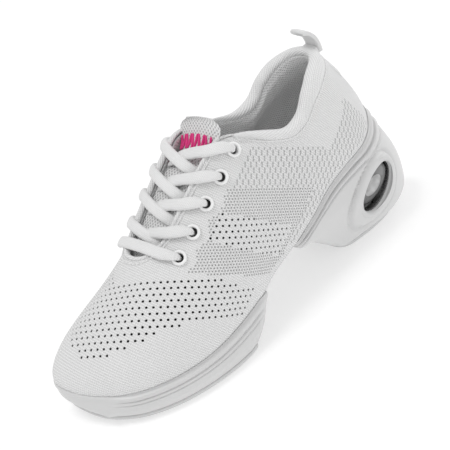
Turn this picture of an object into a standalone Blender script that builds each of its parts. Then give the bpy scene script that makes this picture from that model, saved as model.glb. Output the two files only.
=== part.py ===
"""Split-sole knitted cheer and dance shoe, left foot, size 39, built in metres.

Toe towards -Y, heel towards +Y, outer (lateral) side of the foot +X, +Z up, standing on its soles.
All design lengths below are millimetres; finish() scales them and moves the origin to the
bottom centre of the bounding box.
"""
import math

import bmesh
import bpy
from mathutils import Vector

MM = 0.001
GAP = 0.3                       # clearance between neighbouring pieces

KNIT_T = 1.2                    # outer knit
STIFFENER_OUT = 1.5             # toe puff, heel counter and eyelet stays lie between these depths
STIFFENER_IN = 2.6
LINING_OUT = 2.9
LINING_IN = 3.6
COLLAR_PAD_T = 6.0              # extra foam depth behind the ankle collar
OUTSOLE_T = 2.3
DISC_X, DISC_Y, DISC_R = 1.0, -52.0, 14.0   # turning spot under the ball of the foot
BOARD_T = 2.0
SOCK_T = 4.0
HINGE_Y = 18.0                  # arch fold line of the split sole
HINGE_Z = 28.9
SPLIT_LEAN = 12.0 / 87.0        # the fold plane leans back behind the top eyelets
TONGUE_SEAM_Y = -60.0           # where the tongue is sewn to the vamp lining
TONGUE_SEAM_Z = 54.5
PULL_TAB_SEAM = (0.0, 106.2, 116.6)
SMOOTH_ANGLE = math.radians(40.0)
HEEL_PIECES = ("heel_midsole", "heel_outsole", "window_frame_lateral", "window_frame_medial",
               "air_cushion", "insole_board_rear", "sock_liner_rear", "arch_cover_rear",
               "knit_quarter", "lining_quarter", "heel_counter", "collar_foam", "back_tape")

EYELET_HOLE_R = 2.6
EYELET_BARREL_R = 3.1
EYELET_FLANGE_R = 4.4
EYELET_CUT_R = 3.45

LACE_W = 5.2
LACE_T = 2.6
LACE_FLAT_T = 1.9
LACE_ROUND_D = 3.6
TUCK_LEVEL = 0.55               # how far below an eyelet row a strand dips under the opposite edge

WINDOW_Y = 98.0
WINDOW_Z = 30.5
WINDOW_LONG = 15.5
WINDOW_SHORT = 7.8
WINDOW_TILT = math.radians(25.0)
WINDOW_RIM = 2.6
WINDOW_SIDES = 24

# foot line, top line, lower handle, upper handle of every wall column (heel back first, then the
# lateral side forward, the toe, and the medial side backward)
COLUMNS = (
    ((0, 125, 64), (0, 103, 115.5), (0, -2, 20), (0, 8, -13)),
    ((14.5, 115.5, 59), (12, 98.5, 114.5), (0.5, -1, 20), (3, 4, -18)),
    ((25, 100, 57), (20, 87.5, 111), (1.5, 0, 16), (4, 3, -18)),
    ((30, 82, 56), (24, 77, 105), (2, 0, 14), (4, 1, -16)),
    ((31.5, 64, 51), (27, 66, 97), (2, 0, 14), (4, 0, -14)),
    ((33, 46, 42), (28, 54, 95), (2, 0, 17), (5, 0, -16)),
    ((33.5, 28, 35), (26.5, 41, 100.5), (3, 0, 20), (6, -2, -18)),
    ((35.5, 10, 30), (23.5, 27, 108.5), (4, 2, 22), (9, -3, -18)),
    ((40.5, -7, 25.5), (20, 13, 112), (3, 2, 24), (12, -3, -15)),
    ((43.5, -24, 22), (18, 0, 104), (3, 2, 22), (14, -3, -13)),
    ((45, -42, 19), (17.3, -13, 94.5), (3, 2, 20), (15, -4, -13)),
    ((44, -60, 17.5), (16.6, -26, 84.5), (3, 0, 20), (15, -6, -12)),
    ((39, -79, 17), (15, -38, 76), (3, -2, 20), (13, -11, -10)),
    ((29, -97, 17.5), (11, -47.5, 72.3), (2, -3, 19), (9, -20, -12)),
    ((14, -109.5, 19.5), (6, -52, 71), (1, -3, 17), (4, -25, -16)),
    ((-2, -116.5, 21.5), (0, -53.5, 70.8), (0, -3, 15), (0, -27, -19)),
    ((-18, -116.5, 23.5), (-6, -52.5, 71), (-1, -2, 14), (-3, -24, -20)),
    ((-32, -102, 23), (-11, -48.5, 71.5), (-2, -2, 15), (-6, -18, -21)),
    ((-40, -84, 21), (-14.5, -41, 74.5), (-2, -1, 16), (-8, -10, -21)),
    ((-43, -66, 20), (-16, -31, 81.5), (-2, 0, 17), (-8, -6, -22)),
    ((-43, -48, 20), (-16.5, -19, 90.5), (-2, 2, 18), (-9, -4, -22)),
    ((-40.5, -28, 22), (-17, -6, 100.5), (-2, 2, 20), (-9, -3, -22)),
    ((-36.5, -9, 26), (-18.5, 9, 109), (-2, 2, 22), (-9, -3, -22)),
    ((-33, 10, 31.5), (-21, 25, 106), (-3, 2, 22), (-8, -3, -20)),
    ((-31, 28, 38), (-23.5, 42, 98), (-3, 0, 20), (-6, -2, -18)),
    ((-30, 46, 45), (-26, 56, 93.5), (-2, 0, 17), (-5, 0, -15)),
    ((-29.5, 64, 52), (-26, 68, 96), (-2, 0, 14), (-4, 0, -14)),
    ((-28.5, 82, 56), (-24, 77, 104.5), (-2, 0, 14), (-4, 1, -16)),
    ((-24, 100, 57), (-20, 87.5, 111), (-1.5, 0, 16), (-4, 3, -18)),
    ((-14, 115.5, 59), (-12, 98.5, 114.5), (-0.5, -1, 20), (-3, 4, -18)),
)
NCOL = len(COLUMNS)
COLUMN_STEP = NCOL / 72.0       # all layers of the upper share this grid

FOOTBED = ((-130, 12), (-110, 10.5), (-90, 9), (-60, 8.5), (-40, 10), (-20, 15.5), (0, 23.5),
           (18, 31), (32, 35.5), (50, 41), (70, 45), (95, 47), (135, 48))

# forefoot sole, rear centre first, then lateral rear to toe and medial toe to rear
FORE_BOTTOM = ((0, -17, 2.6), (29, -17.5, 2.6), (40, -19, 2.6), (43.5, -24, 2.6), (45.5, -34, 2.6),
               (46, -46, 2.6), (44.5, -62, 2.6), (39.5, -80, 2.8), (29.5, -97, 3.6), (15, -110, 5.6),
               (-2, -116, 7.4), (-18, -116, 7.4), (-32, -103, 5.0), (-40, -85, 3.2),
               (-43, -67, 2.6), (-43, -50, 2.6), (-41.5, -35, 2.6), (-39, -25, 2.6),
               (-35, -19, 2.6), (-25, -17.5, 2.6))
FORE_REAR_Y = -4.0

# heel sole, one ring per level, rear centre first, lateral side forward to the front centre
HEEL_RINGS = (
    ((0, 125, 2.8), (9.5, 120, 2.8), (16.5, 108, 2.8), (19, 94, 2.8), (19, 82, 2.8), (18, 74, 2.8),
     (14, 69.5, 2.8), (7, 68, 2.8), (0, 67.5, 2.8)),
    ((0, 135, 9), (14, 127.5, 9), (23.5, 112, 9), (26.5, 96, 9), (26.5, 81, 9), (26, 71, 8.5),
     (25, 65, 8), (14, 62, 8), (0, 61.5, 8)),
    ((0, 137.5, 20), (16, 128.5, 20), (26.5, 112, 20), (30, 96, 20), (30, 80, 20), (29, 65, 19),
     (28, 55, 17), (16, 52.5, 17), (0, 52, 17)),
    ((0, 136, 33), (16, 127.5, 33), (27, 111, 33), (31, 95, 33), (32, 79, 33), (32, 60, 31),
     (31.5, 44, 27.5), (19, 41.5, 26.3), (0, 41, 26)),
    ((0, 131.5, 47), (15.5, 122.5, 47), (26.5, 106, 47), (30.5, 90, 47), (32, 71, 44),
     (33, 52.5, 37.5), (33, 35, 30.5), (23, 33, 29.3), (0, 32.5, 29)),
)
HEEL_FRONT_Y = 26.0
HEEL_KNEE = 6.3                 # ring parameter of the heel unit's front corners

TONGUE_CREST = ((-64, 54.5), (-56, 57.5), (-50, 60.5), (-44, 64), (-35, 69.5), (-22, 79),
                (-9, 89), (4, 98), (12, 102.5), (17, 105.5), (20.5, 109), (23, 113.5), (25.5, 118))
TONGUE_HALF_W = ((-64, 11), (-50, 13), (-30, 16.5), (-6, 18.5), (6, 17), (14, 15.5), (22, 15.5),
                 (24, 14.5), (25.5, 12))
TONGUE_SAG = ((-64, 10), (2, 10.5), (12, 8), (24, 4))

EYELETS_LATERAL = ((26.5, 17.5, 106), (27.5, 3, 97), (26.5, -11, 88), (26.5, -25, 78),
                   (26, -38, 69))
EYELETS_MEDIAL = ((-26, 13, 100), (-26, -1, 91), (-26, -15, 82), (-25.5, -28, 73),
                  (-24, -40, 66))

PAINTS = {
    "knit_white": ((0.87, 0.87, 0.88), 0.85, 0.0),
    "lining_grey": ((0.62, 0.62, 0.64), 0.9, 0.0),
    "sole_white": ((0.84, 0.84, 0.86), 0.45, 0.0),
    "rubber_white": ((0.78, 0.78, 0.80), 0.6, 0.0),
    "tongue_mesh": ((0.80, 0.80, 0.81), 0.88, 0.0),
    "motif_pink": ((0.82, 0.05, 0.30), 0.7, 0.0),
    "lace_white": ((0.90, 0.90, 0.91), 0.8, 0.0),
    "eyelet_white": ((0.85, 0.85, 0.86), 0.35, 0.0),
    "aglet_clear": ((0.80, 0.80, 0.82), 0.2, 0.0),
    "stay_white": ((0.82, 0.82, 0.82), 0.8, 0.0),
    "board_tan": ((0.62, 0.55, 0.44), 0.8, 0.0),
    "sock_grey": ((0.74, 0.74, 0.76), 0.9, 0.0),
    "foam_white": ((0.83, 0.83, 0.85), 0.85, 0.0),
    "cushion_dark": ((0.06, 0.06, 0.07), 0.12, 0.0),
    "bezel_silver": ((0.55, 0.56, 0.58), 0.25, 0.0),
    "web_white": ((0.86, 0.86, 0.87), 0.75, 0.0),
}


def paint(name):
    """Material of one slot, made on first use."""
    existing = bpy.data.materials.get(name)
    if existing:
        return existing
    colour, rough, metal = PAINTS[name]
    mat = bpy.data.materials.new(name)
    mat.use_nodes = True
    shader = mat.node_tree.nodes["Principled BSDF"]
    shader.inputs["Base Color"].default_value = (*colour, 1.0)
    shader.inputs["Roughness"].default_value = rough
    shader.inputs["Metallic"].default_value = metal
    mat.diffuse_color = (*colour, 1.0)
    return mat


def make(name, verts, faces, slot):
    """Object from millimetre points; faces may be wound either way, they are made consistent."""
    mesh = bpy.data.meshes.new(name)
    mesh.from_pydata([Vector(v) * MM for v in verts], [], faces)
    obj = bpy.data.objects.new(name, mesh)
    bpy.context.scene.collection.objects.link(obj)
    mesh.materials.append(paint(slot))
    tidy(obj)
    return obj


def tidy(obj):
    """Triangulate, weld exact duplicates and turn every face outward."""
    bm = bmesh.new()
    bm.from_mesh(obj.data)
    bmesh.ops.remove_doubles(bm, verts=bm.verts, dist=0.00001)
    bmesh.ops.dissolve_degenerate(bm, edges=bm.edges, dist=0.000001)
    bmesh.ops.triangulate(bm, faces=bm.faces)
    bmesh.ops.recalc_face_normals(bm, faces=bm.faces)
    bm.to_mesh(obj.data)
    bm.free()


def cubic(p0, p1, p2, p3, t):
    """Catmull-Rom value between p1 and p2 for equal-length tuples."""
    return tuple(0.5 * (2 * b + (c - a) * t + (2 * a - 5 * b + 4 * c - d) * t * t
                        + (3 * b - a - 3 * c + d) * t ** 3)
                 for a, b, c, d in zip(p0, p1, p2, p3))


def on_ring(points, u):
    """Smooth closed curve through the points at parameter u."""
    n = len(points)
    i = math.floor(u)
    return cubic(points[(i - 1) % n], points[i % n], points[(i + 1) % n], points[(i + 2) % n], u - i)


def along(table, x):
    """Smooth curve through (x, value) pairs, flat beyond both ends."""
    if x <= table[0][0]:
        return table[0][1]
    for k in range(len(table) - 1):
        x0, x1 = table[k][0], table[k + 1][0]
        if x <= x1:
            before = table[max(k - 1, 0)]
            after = table[min(k + 2, len(table) - 1)]
            slope0 = (table[k + 1][1] - before[1]) / max(x1 - before[0], 1e-6)
            slope1 = (after[1] - table[k][1]) / max(after[0] - x0, 1e-6)
            t = (x - x0) / (x1 - x0)
            h = x1 - x0
            return ((2 * t ** 3 - 3 * t * t + 1) * table[k][1] + (t ** 3 - 2 * t * t + t) * h * slope0
                    + (3 * t * t - 2 * t ** 3) * table[k + 1][1] + (t ** 3 - t * t) * h * slope1)
    return table[-1][1]


FLAT_COLUMNS = tuple(tuple(c for point in column for c in point) for column in COLUMNS)


def column(u):
    """Foot line, top line and both handles at parameter u."""
    v = on_ring(FLAT_COLUMNS, u % NCOL)
    return Vector(v[0:3]), Vector(v[3:6]), Vector(v[6:9]), Vector(v[9:12])


def inward(u):
    """Horizontal unit vector pointing into the shoe at the foot line."""
    a = column(u + 0.25)[0]
    b = column(u - 0.25)[0]
    t = a - b
    n = Vector((t.y, -t.x, 0.0))
    return n.normalized()


def foot_line(u, inset=0.0):
    """Foot-line point moved inward by inset."""
    return column(u)[0] + inward(u) * inset


def wall(u, v):
    """Outer skin of the upper: v 0 at the foot line, 1 at the top line."""
    foot, top, low, high = column(u)
    a, b, c, d = foot, foot + low, top + high, top
    w = 1.0 - v
    return a * w ** 3 + b * 3 * w * w * v + c * 3 * w * v * v + d * v ** 3


def inner_wall(u, v):
    """Guide surface of the lining, starting just above the sock liner."""
    _, top, low, high = column(u)
    foot = foot_line(u, 5.4)
    foot.z = along(FOOTBED, foot.y) + BOARD_T + SOCK_T + 3 * GAP
    a, b, c, d = foot, foot + low * 0.8, top + high, top
    w = 1.0 - v
    return a * w ** 3 + b * 3 * w * w * v + c * 3 * w * v * v + d * v ** 3


def normal(surface, u, v):
    """Outward unit normal of a wall surface."""
    du = surface(u + 0.06, v) - surface(u - 0.06, v)
    v0 = max(v - 0.02, 0.0)
    v1 = min(v + 0.02, 1.0)
    dv = surface(u, v1) - surface(u, v0)
    n = dv.cross(du).normalized()
    radial = surface(u, v) - Vector((0.0, surface(u, v).y * 0.55, 30.0))
    return n if n.dot(radial) > 0 else -n


def spread(a, b, n):
    """n + 1 evenly spaced values from a to b."""
    return [a + (b - a) * k / n for k in range(n + 1)]


def strip_faces(n_cols, n_rows, closed):
    """Quads of a column-major grid."""
    faces = []
    for i in range(n_cols if closed else n_cols - 1):
        j = (i + 1) % n_cols
        for k in range(n_rows - 1):
            faces.append((i * n_rows + k, j * n_rows + k, j * n_rows + k + 1, i * n_rows + k + 1))
    return faces


def shell(name, slot, surface, us, vs, outer, inner, closed):
    """Thin closed solid between two depths below a wall surface."""
    n_rows = len(vs)
    verts = []
    for depth in (outer, inner):
        for u in us:
            for v in vs:
                verts.append(surface(u, v) - normal(surface, u, v) * depth(u, v))
    size = len(us) * n_rows
    faces = strip_faces(len(us), n_rows, closed)
    faces += [tuple(i + size for i in reversed(f)) for f in faces]
    for i in range(len(us) if closed else len(us) - 1):
        j = (i + 1) % len(us)
        for k in (0, n_rows - 1):
            faces.append((i * n_rows + k, j * n_rows + k, j * n_rows + k + size, i * n_rows + k + size))
    if not closed:
        for i in (0, len(us) - 1):
            for k in range(n_rows - 1):
                a, b = i * n_rows + k, i * n_rows + k + 1
                faces.append((a, b, b + size, a + size))
    return make(name, verts, faces, slot)


def stack(name, slot, rings, first=0, last=0):
    """Closed solid from rings of equal length, both ends closed rung by rung.

    On the last ring the first and last rungs can be gathered into one face at either end.
    """
    n = len(rings[0])
    verts = [p for ring in rings for p in ring]
    faces = []
    for level in range(len(rings) - 1):
        a, b = level * n, (level + 1) * n
        for i in range(n):
            j = (i + 1) % n
            faces.append((a + i, a + j, b + j, b + i))
    for base, low, high in ((0, 0, 0), ((len(rings) - 1) * n, first, last)):
        for i in range(low, n // 2 - high):
            ladder = (base + i, base + i + 1, base + (n - i - 1) % n, base + (n - i) % n)
            faces.append(tuple(dict.fromkeys(ladder)))
        if low:
            faces.append(tuple(base + i % n for i in range(-low, low + 1)))
        if high:
            faces.append(tuple(base + i for i in range(n // 2 - high, n // 2 + high + 1)))
    return make(name, verts, faces, slot)


def resample(points, n):
    """n points round a closed ring, symmetric about its first point."""
    count = len(points)
    return [Vector(on_ring(points, count * k / n)) for k in range(n)]


def heel_ring(level):
    """One level of the heel unit, sampled in step with the rim above it."""
    medial = [(-x * 0.97, y, z) for x, y, z in reversed(level[1:-1])]
    points = list(level) + medial
    half = [HEEL_KNEE * i / 14 for i in range(15)]
    half += [HEEL_KNEE + (8.0 - HEEL_KNEE) * i / 10 for i in range(1, 11)]
    params = half + [16.0 - c for c in reversed(half[1:-1])]
    return [Vector(on_ring(points, c)) for c in params]


def cut(obj, cutter):
    """Exact difference, applied."""
    cutter.hide_render = True
    cutter.display_type = "WIRE"
    mod = obj.modifiers.new("cut", "BOOLEAN")
    mod.operation = "DIFFERENCE"
    mod.solver = "EXACT"
    mod.object = cutter
    bpy.context.view_layer.update()
    evaluated = obj.evaluated_get(bpy.context.evaluated_depsgraph_get())
    mesh = bpy.data.meshes.new_from_object(evaluated)
    obj.modifiers.clear()
    old = obj.data
    obj.data = mesh
    bpy.data.meshes.remove(old)
    tidy(obj)


def copy_of(obj, name):
    """Independent copy under a new name."""
    twin = bpy.data.objects.new(name, obj.data.copy())
    bpy.context.scene.collection.objects.link(twin)
    return twin


def keep_side(obj, front):
    """Cut an object at the fold plane and keep its front or rear part."""
    plane = Vector((0.0, 1.0, -SPLIT_LEAN)).normalized()
    shift = -GAP if front else GAP
    point = Vector((0.0, HINGE_Y + shift, HINGE_Z)) * MM
    bm = bmesh.new()
    bm.from_mesh(obj.data)
    geom = list(bm.verts) + list(bm.edges) + list(bm.faces)
    bmesh.ops.bisect_plane(bm, geom=geom, plane_co=point, plane_no=plane, dist=0.0000001,
                           clear_outer=front, clear_inner=not front)
    open_edges = [e for e in bm.edges if e.is_boundary]
    if open_edges:
        bmesh.ops.holes_fill(bm, edges=open_edges, sides=0)
    bm.to_mesh(obj.data)
    bm.free()
    tidy(obj)
    return obj


def split(obj, front_name, rear_name):
    """Replace a whole piece by its forefoot half and its heel half."""
    rear = keep_side(copy_of(obj, rear_name), False)
    obj.name = front_name
    keep_side(obj, True)
    return obj, rear


def drop(obj):
    """Remove a helper object."""
    bpy.data.objects.remove(obj, do_unlink=True)


def seat(target):
    """Wall parameters (u, v) closest to a wished point."""
    best = None
    for i in range(5 * NCOL):
        for k in range(8, 20):
            u, v = i / 5.0, k / 20.0
            gap = (wall(u, v) - Vector(target)).length
            if best is None or gap < best[0]:
                best = (gap, u, v)
    _, u0, v0 = best
    for step in (0.1, 0.02):
        for du in spread(-2 * step, 2 * step, 8):
            for dv in spread(-0.5 * step, 0.5 * step, 8):
                u, v = u0 + du, min(max(v0 + dv, 0.4), 0.97)
                gap = (wall(u, v) - Vector(target)).length
                if gap < best[0]:
                    best = (gap, u, v)
        _, u0, v0 = best
    return u0, v0


class Eye:
    """One lace hole: centre on the outer skin, outward axis, direction along the eyelet row."""

    def __init__(self, target):
        self.u, self.v = seat(target)
        self.at = wall(self.u, self.v)
        self.out = normal(wall, self.u, self.v)
        row = wall(self.u + 0.3, self.v) - wall(self.u - 0.3, self.v)
        self.row = (row - self.out * row.dot(self.out)).normalized()
        if self.row.y > 0:
            self.row = -self.row
        up = wall(self.u, min(self.v + 0.03, 1.0)) - self.at
        up -= self.row * up.dot(self.row)
        self.up = (up - self.out * up.dot(self.out)).normalized()

    def place(self, toward, height):
        """Point at a distance toward the throat edge and a height above the skin."""
        return self.at + self.up * toward + self.out * height


def lathe(name, slot, eye, profile, sides=12):
    """Ring of revolution about an eyelet axis; profile is a closed list of (radius, height)."""
    verts = []
    for k in range(sides):
        a = 2 * math.pi * k / sides
        d = eye.up * math.cos(a) + eye.row * math.sin(a)
        for r, h in profile:
            verts.append(eye.at + d * r + eye.out * h)
    m = len(profile)
    faces = []
    for k in range(sides):
        j = (k + 1) % sides
        for i in range(m):
            i2 = (i + 1) % m
            faces.append((k * m + i, j * m + i, j * m + i2, k * m + i2))
    return make(name, verts, faces, slot)


def rod(name, eye, radius, low, high, sides=12):
    """Plain cylinder along an eyelet axis, used as a cutter."""
    verts = []
    for h in (low, high):
        for k in range(sides):
            a = 2 * math.pi * k / sides
            verts.append(eye.at + (eye.up * math.cos(a) + eye.row * math.sin(a)) * radius + eye.out * h)
    faces = [tuple(range(sides)), tuple(range(2 * sides - 1, sides - 1, -1))]
    for k in range(sides):
        j = (k + 1) % sides
        faces.append((k, j, sides + j, sides + k))
    return make(name, verts, faces, "stay_white")


def sweep(name, slot, stations, sides=8):
    """Closed tube through stations of (point, width axis, width, thickness)."""
    rings = []
    n = len(stations)
    for i, (p, side, width, thick) in enumerate(stations):
        t = (stations[min(i + 1, n - 1)][0] - stations[max(i - 1, 0)][0]).normalized()
        s = (side - t * side.dot(t)).normalized()
        up = t.cross(s)
        ring = []
        for k in range(sides):
            a = 2 * math.pi * k / sides
            ring.append(p + s * math.cos(a) * width * 0.5 + up * math.sin(a) * thick * 0.5)
        rings.append(ring)
    verts = [p for ring in rings for p in ring]
    faces = strip_faces(n, sides, False)
    for i in range(n - 1):
        a, b = i * sides, (i + 1) * sides
        faces.append((a + sides - 1, b + sides - 1, b, a))
    faces.append(tuple(range(sides)))
    faces.append(tuple(range((n - 1) * sides, n * sides)))
    return make(name, verts, faces, slot)


def smooth_stations(knots, spacing):
    """Even stations on a smooth curve through knots of (point, axis, width, thickness)."""
    rows = [tuple(p) + tuple(axis) + (w, t) for p, axis, w, t in knots]
    reach = [math.dist(a[:3], b[:3]) for a, b in zip(rows, rows[1:])]
    slopes = []
    for i, row in enumerate(rows):
        before = [(b - a) / reach[i - 1] for a, b in zip(rows[i - 1], row)] if i else None
        after = [(b - a) / reach[i] for a, b in zip(row, rows[i + 1])] if i < len(reach) else None
        if before and after:
            h0, h1 = reach[i - 1], reach[i]
            slopes.append([(a * h1 + b * h0) / (h0 + h1) for a, b in zip(before, after)])
        else:
            slopes.append(before or after)
    out = []
    for i, h in enumerate(reach):
        steps = max(1, round(h / spacing))
        for k in range(steps):
            t = k / steps
            c = (2 * t ** 3 - 3 * t * t + 1, (t ** 3 - 2 * t * t + t) * h,
                 3 * t * t - 2 * t ** 3, (t ** 3 - t * t) * h)
            out.append([c[0] * a + c[1] * m + c[2] * b + c[3] * n for a, m, b, n
                        in zip(rows[i], slopes[i], rows[i + 1], slopes[i + 1])])
    out.append(rows[-1])
    return [(Vector(v[0:3]), Vector(v[3:6]), v[6], v[7]) for v in out]


def cup(rim, spine, narrow):
    """Lip and floor rings inside a rim, moved towards a spine (lowest y, highest y)."""
    lip = []
    floor = []
    for p in rim:
        side = Vector((1.0 - p.x, min(max(p.y, spine[0]), spine[1]) - p.y, 0.0)).normalized()
        lip.append(p + side * 2.4 * narrow(p.y) - Vector((0.0, 0.0, 0.6)))
        f = p + side * 4.2 * narrow(p.y)
        f.z = min(along(FOOTBED, f.y) - 3 * GAP, lip[-1].z - 0.2)
        floor.append(f)
    return lip, floor


def rim_ring(run, y, steps):
    """Closed rim: foot line over a run of grid columns, closed by straight edges through x 0."""
    sides = [foot_line(k * COLUMN_STEP) - Vector((0, 0, GAP)) for k in run]
    for p in (sides[0], sides[-1]):
        p.z = min(p.z, along(FOOTBED, p.y) - 3 * GAP)
    middle = Vector((0.0, y, along(FOOTBED, y) - 3 * GAP))
    lead = [middle.lerp(sides[0], i / steps) for i in range(steps)]
    back = [middle.lerp(sides[-1], i / steps) for i in range(steps - 1, 0, -1)]
    return lead + sides + back


def build_forefoot_sole():
    """Rubber sole with its turning disc and the cup-shaped foam unit above it."""
    n = 48
    rim = rim_ring(range(18, 55), FORE_REAR_Y, 6)
    bottom = resample(FORE_BOTTOM, n)
    centre = Vector((1.0, -60.0, 0.0))
    bulge = []
    for a, b in zip(bottom, rim):
        p = (a + b) * 0.5
        out = p - centre
        out.z = 0.0
        bulge.append(p + out.normalized() * 1.4)
    lip, floor = cup(rim, (-100.0, -16.0), lambda y: 0.65 + 0.35 * smooth_step(4.0, -16.0, y))
    stack("forefoot_midsole", "sole_white", [bottom, bulge, rim, lip, floor], first=8)

    sole_top = [p - Vector((0, 0, GAP)) for p in bottom]
    sole_low = [p - Vector((0, 0, OUTSOLE_T)) for p in sole_top]
    outsole = stack("forefoot_outsole", "rubber_white", [sole_low, sole_top])
    disc_cut = disc("disc_cutter", DISC_R + GAP, -2.0, 6.0)
    cut(outsole, disc_cut)
    drop(disc_cut)
    disc("turning_disc", DISC_R, 0.0, OUTSOLE_T - 0.1)


def disc(name, radius, low, high, sides=24):
    """Upright disc under the ball of the foot."""
    verts = []
    for z in (low, high):
        for k in range(sides):
            a = 2 * math.pi * k / sides
            verts.append((DISC_X + radius * math.cos(a), DISC_Y + radius * math.sin(a), z))
    faces = [tuple(range(sides)), tuple(range(2 * sides - 1, sides - 1, -1))]
    for k in range(sides):
        j = (k + 1) % sides
        faces.append((k, j, sides + j, sides + k))
    return make(name, verts, faces, "rubber_white")


def window_cutter():
    """Oval bar along X on the window axis."""
    sides = WINDOW_SIDES
    verts = []
    for x in (-60.0, 60.0):
        for k in range(sides):
            verts.append(window_point(x, 2 * math.pi * k / sides, 0.0))
    faces = [tuple(range(sides)), tuple(range(2 * sides - 1, sides - 1, -1))]
    for k in range(sides):
        j = (k + 1) % sides
        faces.append((k, j, sides + j, sides + k))
    return make("window_cutter", verts, faces, "sole_white")


def window_point(x, a, grow):
    """Point on the oval of the heel window at angle a."""
    p = (WINDOW_LONG + grow) * math.cos(a)
    q = (WINDOW_SHORT + grow) * math.sin(a)
    y = WINDOW_Y + p * math.cos(WINDOW_TILT) - q * math.sin(WINDOW_TILT)
    z = WINDOW_Z + p * math.sin(WINDOW_TILT) + q * math.cos(WINDOW_TILT)
    return Vector((x, y, z))


def side_x(y):
    """Half width of the heel unit in the plane of the window frames."""
    return 31.2 - 0.13 * max(y - 88.0, 0.0) - 0.003 * max(y - 88.0, 0.0) ** 2


def window_frame(name, sign):
    """Oval bezel seated in the recess of the heel unit."""
    sides = WINDOW_SIDES
    rows = ((0.0, -2.2), (0.0, 0.4), (0.7, 0.9), (1.6, 0.9), (2.3, 0.3), (2.3, -2.2))
    verts = []
    for k in range(sides):
        a = 2 * math.pi * k / sides
        for grow, lift in rows:
            p = window_point(0.0, a, grow)
            p.x = sign * (side_x(p.y) + lift)
            verts.append(p)
    m = len(rows)
    faces = []
    for k in range(sides):
        j = (k + 1) % sides
        for i in range(m):
            i2 = (i + 1) % m
            faces.append((k * m + i, j * m + i, j * m + i2, k * m + i2))
    return make(name, verts, faces, "bezel_silver")


def build_heel_sole():
    """Heel unit with its through window, window frames, air cushion and rubber tread."""
    n = 48
    rings = [heel_ring(level) for level in HEEL_RINGS]
    top = rim_ring(range(14, -15, -1), HEEL_FRONT_Y, 10)
    rim = [top[(n // 2 - i) % n] for i in range(n)]
    lip, floor = cup(rim, (40.0, 108.0), lambda y: 0.8 + 0.2 * smooth_step(24.0, 44.0, y))
    unit = stack("heel_midsole", "sole_white", rings + [rim, lip, floor], last=12)
    hole = window_cutter()
    cut(unit, hole)
    drop(hole)
    for sign in (1, -1):
        recess = window_recess(sign)
        cut(unit, recess)
        drop(recess)
    window_frame("window_frame_lateral", 1)
    window_frame("window_frame_medial", -1)

    sides = WINDOW_SIDES
    rows = ((-24.6, -5.5), (-25.1, -2.6), (-22.5, -0.8), (22.5, -0.8), (25.1, -2.6), (24.6, -5.5))
    rings = [[window_point(x, 2 * math.pi * k / sides, grow) for k in range(sides)]
             for x, grow in rows]
    stack("air_cushion", "cushion_dark", rings)

    tread_top = [p - Vector((0.0, 0.0, GAP)) for p in heel_ring(HEEL_RINGS[0])]
    tread_low = [Vector((p.x * 0.95, 96 + (p.y - 96) * 0.95, 0.0)) for p in tread_top]
    stack("heel_outsole", "rubber_white", [tread_low, tread_top])


def window_recess(sign):
    """Cutter that sinks the frame seat into the side of the heel unit."""
    sides = WINDOW_SIDES
    verts = []
    for x_of in (lambda y: side_x(y) - 2.5, lambda y: 60.0):
        for k in range(sides):
            p = window_point(0.0, 2 * math.pi * k / sides, WINDOW_RIM)
            p.x = sign * x_of(p.y)
            verts.append(p)
    faces = [tuple(range(sides)), tuple(range(2 * sides - 1, sides - 1, -1))]
    for k in range(sides):
        j = (k + 1) % sides
        faces.append((k, j, sides + j, sides + k))
    return make("recess_cutter", verts, faces, "sole_white")


def sheet_ring(n, inset, lift):
    """Foot-shaped ring at a height above the footbed."""
    ring = []
    for k in range(n):
        p = foot_line(NCOL * k / n, inset)
        ring.append(Vector((p.x, p.y, along(FOOTBED, p.y) + lift)))
    return ring


def build_footbed():
    """Insole board and sock liner, each in a forefoot and a heel half."""
    n = 96
    board = stack("insole_board", "board_tan",
                  [sheet_ring(n, 4.8, 0.0), sheet_ring(n, 4.8, BOARD_T)])
    split(board, "insole_board_front", "insole_board_rear")
    sock = stack("sock_liner", "sock_grey",
                 [sheet_ring(n, 5.2, BOARD_T + GAP), sheet_ring(n, 5.2, BOARD_T + GAP + SOCK_T)])
    split(sock, "sock_liner_front", "sock_liner_rear")


def build_arch():
    """Cloth cover under the arch between the two sole units."""
    rows = []
    for y in spread(2.6, 25.0, 8):
        u_lat = 7.45 - (y - 2.6) / 18.0
        u_med = 22.6 + (y - 2.6) / 18.0
        lat = foot_line(u_lat, 6.0)
        med = foot_line(u_med, 6.0)
        z = along(FOOTBED, y) - GAP - 0.1
        rows.append((Vector((lat.x, y, z)), Vector((med.x, y, z))))
    outline = [lat for lat, _ in rows] + [med for _, med in reversed(rows)]
    low = [p - Vector((0, 0, 1.5)) for p in outline]
    m = len(outline)
    faces = []
    for i in range(len(rows) - 1):
        j = m - 1 - i
        faces.append((i, i + 1, j - 1, j))
        faces.append((m + i, m + j, m + j - 1, m + i + 1))
    for i in range(m):
        j = (i + 1) % m
        faces.append((i, j, m + j, m + i))
    cover = make("arch_cover", outline + low, faces, "knit_white")
    split(cover, "arch_cover_front", "arch_cover_rear")


def collar_weight(u):
    """1 around the ankle collar, fading to 0 at the fold plane."""
    d = min(u % NCOL, NCOL - u % NCOL)
    return min(max((6.0 - d) / 1.6, 0.0), 1.0)


def smooth_step(a, b, x):
    """0 below a, 1 above b."""
    t = min(max((x - a) / (b - a), 0.0), 1.0)
    return t * t * (3 - 2 * t)


def pad_depth(u, v):
    """Extra depth of the lining behind the collar foam."""
    d = min(u % NCOL, NCOL - u % NCOL)
    back = 0.45 + 0.55 * smooth_step(0.4, 2.4, d)
    crest = 1 - 0.35 * smooth_step(0.9, 1.0, v)
    return COLLAR_PAD_T * back * collar_weight(u) * smooth_step(0.52, 0.82, v) * crest


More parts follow.
